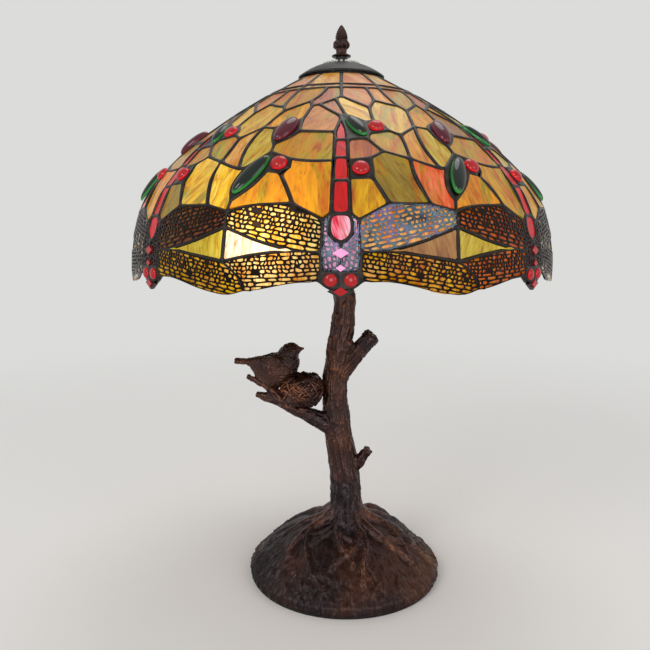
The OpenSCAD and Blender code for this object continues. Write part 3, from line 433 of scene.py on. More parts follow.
def net_of_cells():
    """The whole dome as one mesh: each cell a face, its long edges divided and eased into curves."""
    bm = bmesh.new()
    kind_layer = bm.faces.layers.int.new("kind")
    cell_layer = bm.faces.layers.int.new("cell")
    corners_at, place = {}, {}
    for repeat in range(REPEATS):
        for kind, cells in enumerate(CELLS.values()):
            for index, cell in enumerate(cells):
                corners = []
                for word in cell.split():
                    turn, s = read_point(word)
                    turn = (turn + PITCH * repeat) % AROUND
                    key = (round(turn * 20) % round(AROUND * 20), round(s * 20))
                    if key not in corners_at:
                        corners_at[key] = bm.verts.new(on_dome(turn, s))
                        place[corners_at[key]] = (turn, s)
                    corners.append(corners_at[key])
                face = bm.faces.new(corners)
                face[kind_layer], face[cell_layer] = kind, repeat * 100 + index
    for edge in bm.edges[:]:
        start, end = edge.verts
        turn_a, s_a = place[start]
        turn_b, s_b = place[end]
        turn_b += AROUND * round((turn_a - turn_b) / AROUND)
        cuts = int(edge.calc_length() / LONGEST_SIDE)
        for i in range(cuts):
            start = bmesh.utils.edge_split(edge, start, 1 / (cuts + 1 - i))[1]
            edge = next(e for e in start.link_edges if end in e.verts)
            part = (i + 1) / (cuts + 1)
            place[start] = (turn_a + (turn_b - turn_a) * part, s_a + (s_b - s_a) * part)
    for vert, (turn, s) in place.items():
        vert.co = on_dome(turn, s)
    bends = [v for v in bm.verts if len(v.link_edges) == 2 and place[v][1] > 1]
    for _ in range(EASINGS):
        eased = [v.co * BEND_KEPT + sum((e.other_vert(v).co for e in v.link_edges), Vector())
                 * ((1 - BEND_KEPT) / 2) for v in bends]
        for vert, co in zip(bends, eased):
            vert.co = co
    face_outwards(bm)
    return bm, kind_layer, cell_layer


def face_outwards(bm):
    """Turns every face of an open dome away from the lamp's middle."""
    for face in bm.faces:
        face.normal_update()
        centre = face.calc_center_median()
        if face.normal.dot(Vector((centre.x, centre.y, 0.05))) < 0:
            face.normal_flip()
    bm.normal_update()


def thicken(bm, depth):
    """Turns an open dome-shaped skin into a closed plate that reaches inwards from it."""
    bmesh.ops.solidify(bm, geom=bm.faces[:], thickness=depth)
    bmesh.ops.recalc_face_normals(bm, faces=bm.faces[:])


def make_panes_and_solder():
    """Insets every cell by half a solder line; what is left inside becomes panes, the lines become solder."""
    net, kind_layer, cell_layer = net_of_cells()
    names = list(CELLS)
    cells = net.faces[:]
    for wanted, thickness, even in ((WINGS, LEAD_HALF["wing"], True), (("gap",), LEAD_HALF["line"], False),
                                    (None, LEAD_HALF["line"], True)):
        chosen = [f for f in cells if names[f[kind_layer]] in wanted] if wanted else \
            [f for f in cells if names[f[kind_layer]] not in WINGS + ("gap",)]
        bmesh.ops.inset_individual(net, faces=chosen, depth=0, use_even_offset=even, thickness=thickness)
    rng = random.Random(7)
    for kind in names:
        if kind != "jewel" and kind not in WINGS:
            make_panes(kind, [f for f in cells if names[f[kind_layer]] == kind], cell_layer, rng)
    open_cells = [f for f in cells if names[f[kind_layer]] != "jewel"]
    bmesh.ops.delete(net, geom=open_cells, context="FACES_ONLY")
    make_solder(net)


# The glass that faces the sky; its colours are darkened as painted shade against the light it catches from
# above
SKYWARD = ("crown", "band", "upper", "middle")


def colours_for(kind, repeat, index, rng):
    """The two streak colours of one cell: the front repeat's own, the others' mixed."""
    palette = PALETTE[kind]
    pair = palette[index % len(palette)]
    if repeat and kind == "gap":
        pair = palette[2 + (repeat + index) % 2]
    elif kind in ("thorax", "body"):
        pair = palette[min(repeat, 1)]
    elif repeat and len(palette) > len(CELLS[kind]) and rng.random() < 0.65:
        pair = rng.choice(palette)
    # Painted shade: glass that faces the sky is darkened to 0.84
    vary = (1 + rng.uniform(-0.08, 0.08) * (repeat != 0)) * (0.84 if kind in SKYWARD else 1)
    base, milk = (Vector(linear(colour)) * vary for colour in pair.split())
    base.w = float(kind in SKYWARD or kind in ("lower", "skirt"))
    return [base, milk]


def glow_at(co):
    """How strongly the glass is painted as lit by the bulb behind at a place: a painted glow."""
    return GLOW_ALL_OVER + GLOW_AT_BULB * math.exp(-((co - BULB_SPOT).length / BULB_REACH) ** 2)


def sheet_layers(bm):
    """A glass sheet's UV map and two colours on a bmesh, with a painted glow for its vertices."""
    bm.verts.layers.float.new("glow")
    return [bm.loops.layers.uv.new("sheet"), bm.loops.layers.float_color.new("sheet_colour"),
            bm.loops.layers.float_color.new("streak_colour")]


def light_up(bm):
    """Gives each vertex of a sheet its painted glow."""
    glow = bm.verts.layers.float["glow"]
    for vert in bm.verts:
        vert[glow] = glow_at(vert.co)


def make_panes(kind, cells, cell_layer, rng):
    """Each cell's pane: flat glass a little larger than its opening, with its own colours and grain."""
    bm = bmesh.new()
    layers = sheet_layers(bm)
    for cell in cells:
        repeat, index = divmod(cell[cell_layer], 100)
        colours = colours_for(kind, repeat, index, rng)
        centre, normal = cell.calc_center_median(), cell.normal.copy()
        flat = [v.co + (v.co - centre).normalized() * PANE_LAP for v in cell.verts]
        flat = [co - normal * (co - centre).dot(normal) * 0.8 for co in flat]
        front = [bm.verts.new(co + normal * GLASS_HALF) for co in flat]
        back = [bm.verts.new(co - normal * GLASS_HALF) for co in flat]
        colour_sheet(add_plate(bm, front, back), centre, normal, colours, layers, rng)
    bmesh.ops.recalc_face_normals(bm, faces=bm.faces[:])
    bmesh.ops.triangulate(bm, faces=[f for f in bm.faces if len(f.verts) > 4])
    light_up(bm)
    piece(kind + "_panes", bm, "shade", GLASS, [kind + "_glass"], smooth=False)


def colour_sheet(faces, centre, normal, colours, layers, rng):
    """Gives a pane's faces its colours and a place of its own on the streaky sheet, grain running down."""
    uv, tone, milk = layers
    side = Vector((-centre.y, centre.x, 0)).normalized()
    down = side.cross(normal)
    lean = rng.gauss(0, 0.3)
    slide = Vector((rng.uniform(0, 9), rng.uniform(0, 9)))
    for face in faces:
        for loop in face.loops:
            flat = loop.vert.co - centre
            x, y = flat.dot(side), flat.dot(down)
            loop[uv].uv = (x * math.cos(lean) - y * math.sin(lean) + slide.x,
                           x * math.sin(lean) + y * math.cos(lean) + slide.y)
            loop[tone], loop[milk] = colours


def make_solder(net):
    """The leaded network: a rounded bead down the middle of every joint, filled cells round the jewels."""
    bmesh.ops.recalc_face_normals(net, faces=net.faces[:])
    face_outwards(net)
    inner = {v for e in net.edges if len(e.link_faces) == 1 for v in e.verts}
    inner.update(v for f in net.faces if len(f.verts) > 4 for v in f.verts)
    for vert in net.verts:
        vert.co += vert.normal * (BEAD_EDGE if vert in inner else BEAD_CREST) * MM
    thicken(net, BEAD_DEPTH * MM)
    made = piece("leaded_network", net, "shade", SOLDER,
                 ["upper_solder", "middle_solder", "skirt_solder", "body_solder", "wing_solder",
                  "jewel_bezels"])
    smoothing = made.modifiers.new("round_bead", "SUBSURF")
    smoothing.levels = smoothing.render_levels = 1


# ---------------------------------------------------------------- wings: lit glass under pierced brass
def wing_outline(words):
    """A wing's outline in flat millimetres, eased between its corners."""
    corners = [read_point(word) for word in words.split()]
    points = [Vector((turn * DEGREE_MM, -s)) for turn, s in corners]
    eased = []
    for i, point in enumerate(points):
        before, after, last = points[i - 1], points[(i + 1) % len(points)], points[(i + 2) % len(points)]
        steps = max(1, int((after - point).length / 5))
        for k in range(steps):
            t = k / steps
            eased.append(on_curve(before, point, after, last, t) if 0 < i < len(points) - 2
                         else point.lerp(after, t))
    return eased


def brickwork(outline, row, brick, rng, stretch=1.0):
    """An outline filled with staggered rows of cells along its length, longer towards its lower edge."""
    bm = bmesh.new()
    bm.faces.new([bm.verts.new((p.x, p.y, 0)) for p in outline])
    middle = sum(outline, Vector((0, 0))) / len(outline)
    spread = [p - middle for p in outline]
    lean = 0.5 * math.atan2(2 * sum(p.x * p.y for p in spread), sum(p.x ** 2 - p.y ** 2 for p in spread))
    along, across = Vector((math.cos(lean), math.sin(lean), 0)), Vector((-math.sin(lean), math.cos(lean), 0))
    middle = middle.to_3d()
    reach = max(p.length for p in spread)
    rows = int(reach / row) + 1
    for i in range(-rows, rows):
        bmesh.ops.bisect_plane(bm, geom=bm.verts[:] + bm.edges[:] + bm.faces[:], dist=1e-4,
                               plane_co=middle + across * row * i, plane_no=across)
    if across.y < 0:
        across = -across
    for i in range(-rows, rows):
        level = row * (i + 0.5)
        low = min(max(-level / (2.5 * row), 0), 1)
        long = brick * (1 + (stretch - 1) * low)
        place = -reach + rng.uniform(0, long)
        while place < reach:
            strip = [f for f in bm.faces
                     if abs((f.calc_center_median() - middle).dot(across) - level) < row / 2]
            if strip:
                geom = set(strip) | {e for f in strip for e in f.edges} | {v for f in strip for v in f.verts}
                bmesh.ops.bisect_plane(bm, geom=list(geom), dist=1e-4, plane_co=middle + along * place,
                                       plane_no=along + across * rng.uniform(-0.35, 0.35))
            place += long * rng.uniform(0.7, 1.3)
    return bm


def onto_dome(bm, proud):
    """Bends what is drawn flat, in millimetres, round the dome."""
    for vert in bm.verts:
        vert.co = on_dome(vert.co.x / DEGREE_MM, -vert.co.y, proud)


def round_the_lamp(bm):
    """Repeats what a bmesh holds for each dragonfly and numbers the repeats."""
    repeat = bm.faces.layers.int.new("repeat")
    first = bm.verts[:] + bm.edges[:] + bm.faces[:]
    for i in range(1, REPEATS):
        copy = bmesh.ops.duplicate(bm, geom=first)
        verts = [g for g in copy["geom"] if isinstance(g, bmesh.types.BMVert)]
        bmesh.ops.rotate(bm, verts=verts, matrix=Matrix.Rotation(math.tau * i / REPEATS, 3, "Z"))
        for face in {face for vert in verts for face in vert.link_faces}:
            face[repeat] = i


def merge_into(bm, part):
    """Adds one bmesh to another and frees it."""
    mesh = mesh_of("part", part)
    bm.from_mesh(mesh)
    bpy.data.meshes.remove(mesh)


def bend_round(parts, proud, depth):
    """Flat parts, the right wing's first, bent to the dome, thickened and repeated; faces get their side."""
    bm = bmesh.new()
    sides = []
    for side, part in enumerate(parts):
        merge_into(bm, part)
        sides += [side] * (len(bm.faces) - len(sides))
    layer = bm.faces.layers.int.new("side")
    for face, side in zip(bm.faces, sides):
        face[layer] = side
    onto_dome(bm, proud)
    face_outwards(bm)
    round_the_lamp(bm)
    thicken(bm, depth)
    return bm


def wing_order(bm, face):
    """Which wing a face is on, counted round the lamp from the front dragonfly's right one."""
    repeat, side = (face[bm.faces.layers.int[name]] for name in ("repeat", "side"))
    return (2 * repeat - side) % (2 * REPEATS)


# The wings and bodies whose net has a painted blue-green reflection, by their order round the lamp
PAINTED_REFLECTION_ON = {"upper_wing": (0,), "lower_wing": (), "body": (0, 13)}
# How proud the net is, and the mesh of the glass under it, in millimetres
NET_PROUD = 2.1
WING_MESH = 11
# How much of the third hue the wings' glass takes
WING_GUEST_SHARE = 0.3
# Each net: its rows' height, its holes' length, how much longer they get lower down, half its metal's width
NETS = {"upper_wing": (3.3, 3.3, 2.6, 0.58), "lower_wing": (3.0, 3.2, 3.2, 0.52),
        "body": (3.0, 3.8, 1.0, 0.5)}
# The net's metal: thickness, how far its joints wander for a hole's size, and its longest straight side
NET_SHEET, NET_WANDER, NET_SIDE = 0.6 * MM, 0.12, 1.5
# Cells smaller than this share of a full one stay solid, as do a few others and holes under this many mm2
SLIVER, LEFT_SOLID, SMALLEST_HOLE = 0.25, 0.02, 0.8


def make_net(kind, row, brick, stretch, bar):
    """Etched sheet over one kind of cell, pierced with rounded holes in staggered rows."""
    rng = random.Random(row * 100)
    parts = []
    for words in CELLS[kind]:
        part = brickwork(wing_outline(words), row, brick, rng, stretch)
        edge_verts = {v for e in part.edges if e.is_boundary for v in e.verts}
        for vert in part.verts:
            if vert not in edge_verts:
                vert.co += Vector((rng.gauss(0, NET_WANDER * brick), rng.gauss(0, NET_WANDER * row), 0))
        long_sides = [e for e in part.edges if e.calc_length() > NET_SIDE]
        bmesh.ops.subdivide_edges(part, edges=long_sides, cuts=1)
        cells = [f for f in part.faces
                 if f.calc_area() > SLIVER * row * brick and rng.random() > LEFT_SOLID]
        bmesh.ops.inset_individual(part, faces=cells, depth=0, thickness=bar, use_even_offset=False)
        for cell in cells:
            for _ in range(2):
                spots = [v.co.copy() for v in cell.verts]
                for i, vert in enumerate(cell.verts):
                    after = spots[(i + 1) % len(spots)]
                    vert.co = spots[i] * 0.5 + (spots[i - 1] + after) * 0.25
        holes = [f for f in cells if f.calc_area() > SMALLEST_HOLE]
        bmesh.ops.delete(part, geom=holes, context="FACES_ONLY")
        parts.append(part)
    bm = bend_round(parts, NET_PROUD, NET_SHEET)
    # Marks the nets that take the painted reflection
    oxide_and_painted_reflection = bm.verts.layers.float.new("oxide_and_painted_reflection")
    for face in bm.faces:
        if wing_order(bm, face) in PAINTED_REFLECTION_ON[kind]:
            for vert in face.verts:
                vert[oxide_and_painted_reflection] = 1.0
    piece(kind + "_net", bm, "shade", BRASS_NET, ["wing_filigree"])


def make_wing_glass(kind):
    """The glass under one kind of wing, bent to the dome."""
    rng = random.Random(5)
    parts = [brickwork(wing_outline(words), WING_MESH, WING_MESH, rng) for words in CELLS[kind]]
    bm = bend_round(parts, GLASS_HALF / MM, 2 * GLASS_HALF)
    uv, tone, milk = sheet_layers(bm)
    colours = []
    for wing in range(2 * REPEATS):
        pair = WING_PALETTE[kind].get(wing, OTHER_WINGS[wing % len(OTHER_WINGS)])
        colours.append([Vector(linear(colour)) for colour in pair.split()])
        colours[wing][0].w = WING_GUEST_SHARE
    for face in bm.faces:
        for loop in face.loops:
            spot = loop.vert.co
            loop[uv].uv = (math.atan2(spot.x, -spot.y) * 0.2, spot.z)
            loop[tone], loop[milk] = colours[wing_order(bm, face)]
    light_up(bm)
    piece(kind + "_panes", bm, "shade", GLASS, [kind + "_glass"])


# ---------------------------------------------------------------- jewels
# Each oval's place, half length, half width and lean in degrees; each round one's place and radius
OVALS = {"garnet": [((-17.4, 122.5), 17, 8.25, 14)],
         "green": [((4.75, 118.5), 16.2, 6.6, -24), ((-21.9, 174.8), 21.5, 7.5, 27)]}
ROUNDS = {"red": [((11.2, 119.4), 7.4), ((-15.5, 164), 7.5), ((4.7, 170), 7.4)],
          "eye": [((2.05, 255.6), 5.6), ((-2.05, 255.6), 5.6)]}
# How far a bezel holds a stone's rim, how proud the eyes are, and how high other stones rise for their size
JEWEL_SEAT, EYE_HEIGHT = 0.9, 2.6
OVAL_RISE, ROUND_RISE = 0.75, 0.72


def dome_frame(turn, s, lean=0.0):
    """Where a thing lies on the dome: X along the turn, Y up the glass, Z outwards."""
    spot = on_dome(turn, s)
    up = (spot - on_dome(turn, s + 1)).normalized()
    side = (on_dome(turn + 0.3, s) - spot).normalized()
    out = side.cross(up).normalized()
    turned = Matrix((up.cross(out), up, out)).transposed().to_4x4()
    return Matrix.Translation(spot) @ turned @ Matrix.Rotation(-math.radians(lean), 4, "Z")


def add_cabochon(bm, frame_on_dome, half_length, half_width, height):
    """A domed stone with its rim marked for its painted highlight, on a flat back."""
    rim = bm.verts.layers.float.get("rim") or bm.verts.layers.float.new("rim")
    part = bmesh.ops.create_uvsphere(bm, u_segments=36, v_segments=18, radius=1)["verts"]
    for vert in part:
        # Painted highlight: the colour brightens towards the stone's rim
        vert[rim] = 1 - max(vert.co.z, 0)
        flat = max(vert.co.z, 0) ** 0.8
        vert.co = (vert.co.x * half_width, vert.co.y * half_length, GLASS_HALF / MM + height * flat)
        vert.co *= MM
    bmesh.ops.transform(bm, matrix=frame_on_dome, verts=part)


KITE_DEPTH = 3


def add_kite(bm, top, bottom, half_turn, proud):
    """A small flat diamond on each dragonfly's middle line, between two distances down the dome."""
    middle = (top + bottom) / 2
    corners = ((0, top), (-half_turn, middle), (0, bottom), (half_turn, middle))
    front = [bm.verts.new(on_dome(turn, s, proud)) for turn, s in corners]
    back = [bm.verts.new(v.co + Vector((0, KITE_DEPTH * MM, 0))) for v in front]
    add_plate(bm, front, back)
    bmesh.ops.recalc_face_normals(bm, faces=bm.faces[:])


BODY_KITES = ((233, 240, 1.7, 3), (244.5, 249.5, 1, 3))
# Each flat stone or frame: its material, slot and node, its kites, and the dragonflies that have it
FLAT_STONES = {
    "mouth_frames": (SOLDER, "solder", "body_solder", ((258.4, 268.9, 2.7, 1.9),), range(REPEATS)),
    "mouth_stones": (RUBY, "spine_glass", "spine_glass", ((260.4, 266.9, 1.5, 3),), range(REPEATS)),
    "rose_stones": (PINK, "body_glass", "body_glass", BODY_KITES, (0,)),
    "wine_stones": (RUBY, "body_glass", "body_glass", BODY_KITES, range(1, REPEATS))}
DOMED_STONES = {"garnet": (GARNET, "garnet_glass", "garnet_cabochons"),
                "green": (EMERALD, "green_glass", "green_cabochons"),
                "red": (RUBY, "ruby_glass", "red_jewels"), "eye": (RUBY, "ruby_glass", "eye_jewels")}


def make_flat_stones():
    """The diamonds on the dragonflies' mouths and bodies."""
    for name, (material, slot, node, kites, dragonflies) in FLAT_STONES.items():
        bm = bmesh.new()
        for kite in kites:
            add_kite(bm, *kite)
        round_the_lamp(bm)
        repeat = bm.faces.layers.int["repeat"]
        others = [f for f in bm.faces if f[repeat] not in dragonflies]
        bmesh.ops.delete(bm, geom=others, context="FACES")
        piece(name, bm, "shade", material, [node], smooth=False)


def make_domed_stones():
    """The oval and round cabochons and the dragonflies' eyes."""
    for name, (material, slot, node) in DOMED_STONES.items():
        bm = bmesh.new()
        for place, half_length, half_width, lean in OVALS.get(name, ()):
            add_cabochon(bm, dome_frame(*place, lean), half_length - JEWEL_SEAT, half_width - JEWEL_SEAT,
                         OVAL_RISE * half_width)
        for place, radius in ROUNDS.get(name, ()):
            size = radius - JEWEL_SEAT
            rise = EYE_HEIGHT if name == "eye" else ROUND_RISE * size
            add_cabochon(bm, dome_frame(*place), size, size, rise)
        round_the_lamp(bm)
        piece(name + "_stones", bm, "shade", material, [node])


# ---------------------------------------------------------------- stand
# Round sections along each limb: x, y, z and radius
TRUNK = ((6.3, 0, 42, 25), (6.3, 0, 58, 21), (6.4, 0, 76, 17), (5.9, 0, 99, 16), (1.2, 0, 132, 15.2),
         (-3.4, 0, 165, 14), (-5.2, 0, 197, 13.4), (-3.8, 0, 219, 13.3), (-1.3, 0, 240, 13),
         (2.5, 0, 266, 12.3),
         (4.2, 0, 292, 11.2), (1.5, 0, 310, 10.8), (0, 0, 322, 11))
STUB = ((1, 0, 218, 10), (12, -2, 231, 9.4), (23, -5, 245, 8.8), (33, -8, 257, 8.6))
TWIG = ((10, -2, 108, 5.4), (19, -4, 119, 6), (25, -6, 129, 5.2), (30, -8, 136, 5.4))
BRANCH = ((-6, 0, 158, 12), (-22, -3, 166, 9.5), (-38, -6, 175, 7.6), (-52, -7, 182, 7),
          (-63, -7, 188, 6.4), (-76, -6, 191, 5), (-88, -4, 193.5, 3.6))
PERCH = ((-59, -7, 187, 5), (-68, -8, 197, 4.8), (-80, -8, 206, 4.2), (-90, -8, 210.5, 3.8),
         (-97, -8, 213, 3.2))
BIRD = ((-94, -8, 228.5, 4), (-86, -8, 226, 9), (-78, -8, 221.5, 13.6), (-69, -8, 219.5, 17),
        (-61, -8, 223, 17), (-55, -8, 230.5, 14), (-51, -8, 238, 11), (-46.5, -8, 241, 8.6),
        (-42.2, -8, 242, 3.6), (-40, -8, 242.4, 1.9), (-37, -8, 242.8, 0.8))
MOUND_PLACE = Vector((4.5, 0, 0))
MOUND_RADIUS, MOUND_FLAT, MOUND_TOP, MOUND_FOOT, MOUND_FLOOR = 101, 18, 57, 9.5, 1.5


def smooth_line(stations, steps):
    """More stations between the given ones, on a curve through them."""
    points = [Vector(station) for station in stations]
    line = []
    for i in range(len(points) - 1):
        a, b, c, d = (points[max(i - 1, 0)], points[i], points[i + 1], points[min(i + 2, len(points) - 1)])
        for k in range(steps):
            t = k / steps
            line.append(on_curve(a, b, c, d, t))
    return line + [points[-1]]


def close_over(bm, rings):
    """Faces between rings of vertices and over both ends."""
    for low, high in zip(rings, rings[1:]):
        for k in range(len(low)):
            bm.faces.new((low[k - 1], low[k], high[k], high[k - 1]))
    bm.faces.new(rings[0])
    bm.faces.new(rings[-1][::-1])
    bmesh.ops.recalc_face_normals(bm, faces=bm.faces[:])


def add_limb(bm, stations, sides=20, steps=5, squash=1.0):
    """A closed limb of round sections along a smooth line; squash flattens it sideways."""
    line = smooth_line(stations, steps)
    rings = []
    for i, station in enumerate(line):
        ahead = (line[min(i + 1, len(line) - 1)] - line[max(i - 1, 0)]).to_3d().normalized()
        first = ahead.cross(Vector((0, 1, 0))).normalized()
        second = ahead.cross(first)
        rings.append([bm.verts.new((station.to_3d() + station.w * (
            math.cos(math.tau * k / sides) * first + math.sin(math.tau * k / sides) * second * squash)) * MM)
            for k in range(sides)])
    close_over(bm, rings)


def add_turned(bm, profile, centre, steps):
    """A solid turned from a profile of radii and heights round an upright axis, all in millimetres."""
    verts = [bm.verts.new(((centre.x + r) * MM, centre.y * MM, (centre.z + z) * MM)) for r, z in profile]
    edges = [bm.edges.new(pair) for pair in zip(verts, verts[1:])]
    bmesh.ops.spin(bm, geom=verts + edges, cent=centre * MM, axis=(0, 0, 1), angle=math.tau, steps=steps,
                   use_merge=True)
    bmesh.ops.remove_doubles(bm, verts=bm.verts[:], dist=0.05 * MM)
    bmesh.ops.recalc_face_normals(bm, faces=bm.faces[:])


def blended(bm, voxel):
    """The solids of a bmesh melted into one skin, as a casting is."""
    mesh = mesh_of("rough", bm)
    rough = in_scene("rough", mesh)
    melt = rough.modifiers.new("melt", "REMESH")
    melt.mode, melt.voxel_size = "VOXEL", voxel * MM
    even = rough.modifiers.new("even", "SMOOTH")
    even.iterations, even.factor = 4, 0.5
    skin = bpy.data.meshes.new_from_object(rough.evaluated_get(bpy.context.evaluated_depsgraph_get()))
    bpy.data.objects.remove(rough)
    made = bmesh.new()
    made.from_mesh(skin)
    bpy.data.meshes.remove(skin)
    bpy.data.meshes.remove(mesh)
    return made


def carve(bm, depth_at):
    """Moves each vertex along its normal by a depth in millimetres and marks what stands proud and where a
    painted highlight goes.
    """
    wear_and_highlight = bm.verts.layers.float.new("wear_and_highlight")
    bm.normal_update()
    normals = [v.normal.copy() for v in bm.verts]
    for vert, normal in zip(bm.verts, normals):
        depth, proud = depth_at(vert.co / MM, normal)
        vert[wear_and_highlight] = proud
        vert.co += normal * depth * MM


def ridges(co, octaves=3):
    """Ridged noise from 0 in the furrows to 1 on the crests."""
    total, weight, size = 0.0, 0.0, 1.0
    for _ in range(octaves):
        total += (1 - abs(noise.noise(co)) * 2.2) * size
        weight += size
        co, size = co * 2.1, size * 0.5
    return min(max(total / weight, 0), 1)


def bark_for(limbs):
    """Bark whose furrows run along whichever limb is nearest."""
    spans = [(a.to_3d(), b.to_3d()) for limb in limbs for line in [smooth_line(limb, 2)]
             for a, b in zip(line, line[1:])]

    def depth_at(co, normal):
        """Its height and how proud it is at a place."""
        start, end = min(spans, key=lambda span: (co - (span[0] + span[1]) / 2).length)
        axis = (end - start).normalized()
        along = co.dot(axis)
        squeezed = (co - axis * along * 0.86) / 4.2
        furrows = ridges(squeezed)
        knots = noise.noise(co / 17)
        return (furrows - 0.62) * 2.1 + knots * 1.1, 0.35 + furrows * 0.65
    return depth_at


def make_tree():
    """Trunk, stub and nest branch in one casting with furrowed bark."""
    bm = bmesh.new()
    for limb in (TRUNK, STUB, TWIG, BRANCH, PERCH):
        add_limb(bm, limb)
    add_limb(bm, ((3, -4, 258, 3), (9, -7, 249, 4.4), (13, -6, 238, 4)), sides=12)
    tree = blended(bm, 1.05)
    carve(tree, bark_for((TRUNK, STUB, BRANCH, PERCH)))
    piece("tree_casting", tree, "stand", BRONZE, ["trunk", "stub_branch", "nest_branch"])


def mound_height(radius):
    """The mound's height at a distance from its middle, in millimetres."""
    if radius <= MOUND_FLAT:
        return MOUND_TOP
    part = min((radius - MOUND_FLAT) / (MOUND_RADIUS - MOUND_FLAT), 1)
    return MOUND_FOOT + (MOUND_TOP - MOUND_FOOT) * (1 - part ** 1.65)


# Each root: the turn where it leaves the trunk, how far it reaches, its thickness, its wiggle and its fork
ROOTS = ((-168, 88, 7, 9, 18), (-128, 94, 8, -8, -16), (-92, 78, 7, 10, 14), (-58, 92, 8.5, -10, 20),
         (-30, 62, 6.5, 12, -18), (-6, 70, 8, -14, 24), (24, 84, 9, 12, -20), (52, 90, 8, -8, 16),
         (84, 96, 9.5, 8, -14), (118, 92, 9, -10, 18), (150, 84, 7.5, 8, -16))


def root_line(turn, start, reach, thick, wiggle, drift):
    """A root's stations as it runs down over the mound."""
    stations = []
    for i in range(13):
        part = i / 12
        radius = start + (reach - start) * part
        forked = drift * max(part - 0.3, 0) ** 1.3 * 2
        angle = math.radians(turn + wiggle * math.sin(part * 5.2) * part + forked)
        height = mound_height(radius) + 16 * max(1 - part * 3.6, 0) ** 1.6
        size = thick * 0.8 * (1 - 0.75 * part) + 0.3
        stations.append((MOUND_PLACE.x + radius * math.sin(angle), -radius * math.cos(angle),
                         height + size * 0.12, size))
    return stations


def make_mound():
    """The cast mound: a low dome of earth with roots over it, grooved radially towards its rim."""
    bm = bmesh.new()
    profile = [(0.01, MOUND_FLOOR), (MOUND_RADIUS - 1.5, MOUND_FLOOR), (MOUND_RADIUS, 4)]
    profile += [(r, mound_height(r)) for r in range(MOUND_RADIUS - 1, MOUND_FLAT, -4)]
    profile += [(MOUND_FLAT, MOUND_TOP), (0.01, MOUND_TOP)]
    add_turned(bm, profile, MOUND_PLACE, 96)
    for turn, reach, thick, wiggle, fork in ROOTS:
        add_limb(bm, root_line(turn, 6, reach, thick, wiggle, 0), sides=12, steps=2)
        add_limb(bm, root_line(turn, 6, reach * 0.86, thick * 0.8, wiggle, fork), sides=10, steps=2)
    add_limb(bm, ((5, -8, 70, 10), (5, -22, 59, 8), (8, -36, 50, 3.5)), sides=14)
    add_limb(bm, ((22, 28, 50, 5), (32, 36, 51, 7), (46, 42, 44, 6), (60, 44, 34, 3)), sides=14)
    mound = blended(bm, 1.25)
    carve(mound, mound_relief)
    for vert in mound.verts:
        vert.co.z = max(vert.co.z, MOUND_FLOOR * MM)
    piece("mound_casting", mound, "stand", BRONZE, ["root_mound"])


def mound_relief(co, normal):
    """The mound's earth: lumps all over, and furrows that deepen towards its rim."""
    flat = co - MOUND_PLACE
    radius = math.hypot(flat.x, flat.y)
    angle = math.atan2(flat.x, -flat.y)
    if normal.z < -0.5:
        return 0, 0
    earth = ridges(Vector((angle * 24, radius / 30, noise.noise(co / 14))), 3)
    lumps = noise.noise(co / 9)
    towards_rim = min(max((radius - 34) / 50, 0), 1)
    height = co.z - mound_height(radius)
    proud = 0.36 + 0.4 * earth * (0.5 + 0.5 * towards_rim) + min(max(height / 14, 0), 0.35)
    return (earth - 0.6) * (0.5 + 2.3 * towards_rim) + lumps * 0.9, proud


NEST_TWIGS = 120


def make_nest():
    """A nest of woven twigs round a cup."""
    rng = random.Random(11)
    middle = Vector((-40, -8, 184))
    bm = bmesh.new()
    profile = [(0.01, 0), (12, 0), (19, 6), (21.4, 15), (20, 24), (16, 30), (13.5, 28), (11, 18),
               (7, 12), (0.01, 10)]
    add_turned(bm, profile, middle, 40)
    for i in range(NEST_TWIGS):
        inside = i % 5 == 0
        level = rng.uniform(14, 30) if inside else rng.uniform(0, 31)
        start, span = rng.uniform(0, math.tau), rng.uniform(0.6, 1.5)
        climb = rng.choice((-1, 1)) * rng.uniform(8, 28)
        thick = rng.uniform(1.0, 1.9)
        stations = []
        for k in range(8):
            part = k / 7
            z = abs((level + climb * part + 1.5 * math.sin(part * 7 + i)) % 62 - 31)
            wall = 11.5 + 10.4 * math.sin((z + 3) / 38 * math.pi) ** 0.8
            radius = wall - 6 if inside else wall
            radius += 0.9 * math.sin(part * 9 + i * 2)
            angle = start + span * part
            stations.append((middle.x + radius * math.cos(angle), middle.y + radius * math.sin(angle),
                             middle.z + z, thick * (1 - 0.5 * part)))
        add_limb(bm, stations, sides=6, steps=1)
    # Lighter towards the top and on the outer twigs: a painted highlight from above, and rubbing on the outer
    # twigs
    wear_and_highlight = bm.verts.layers.float.new("wear_and_highlight")
    for vert in bm.verts:
        out = (vert.co / MM - middle)
        around = math.hypot(out.x, out.y)
        vert[wear_and_highlight] = min(max(0.5 + (out.z - 12) / 60 + (around - 20.5) * 0.2, 0), 1)
    piece("woven_nest", bm, "stand", BRONZE, ["nest"])


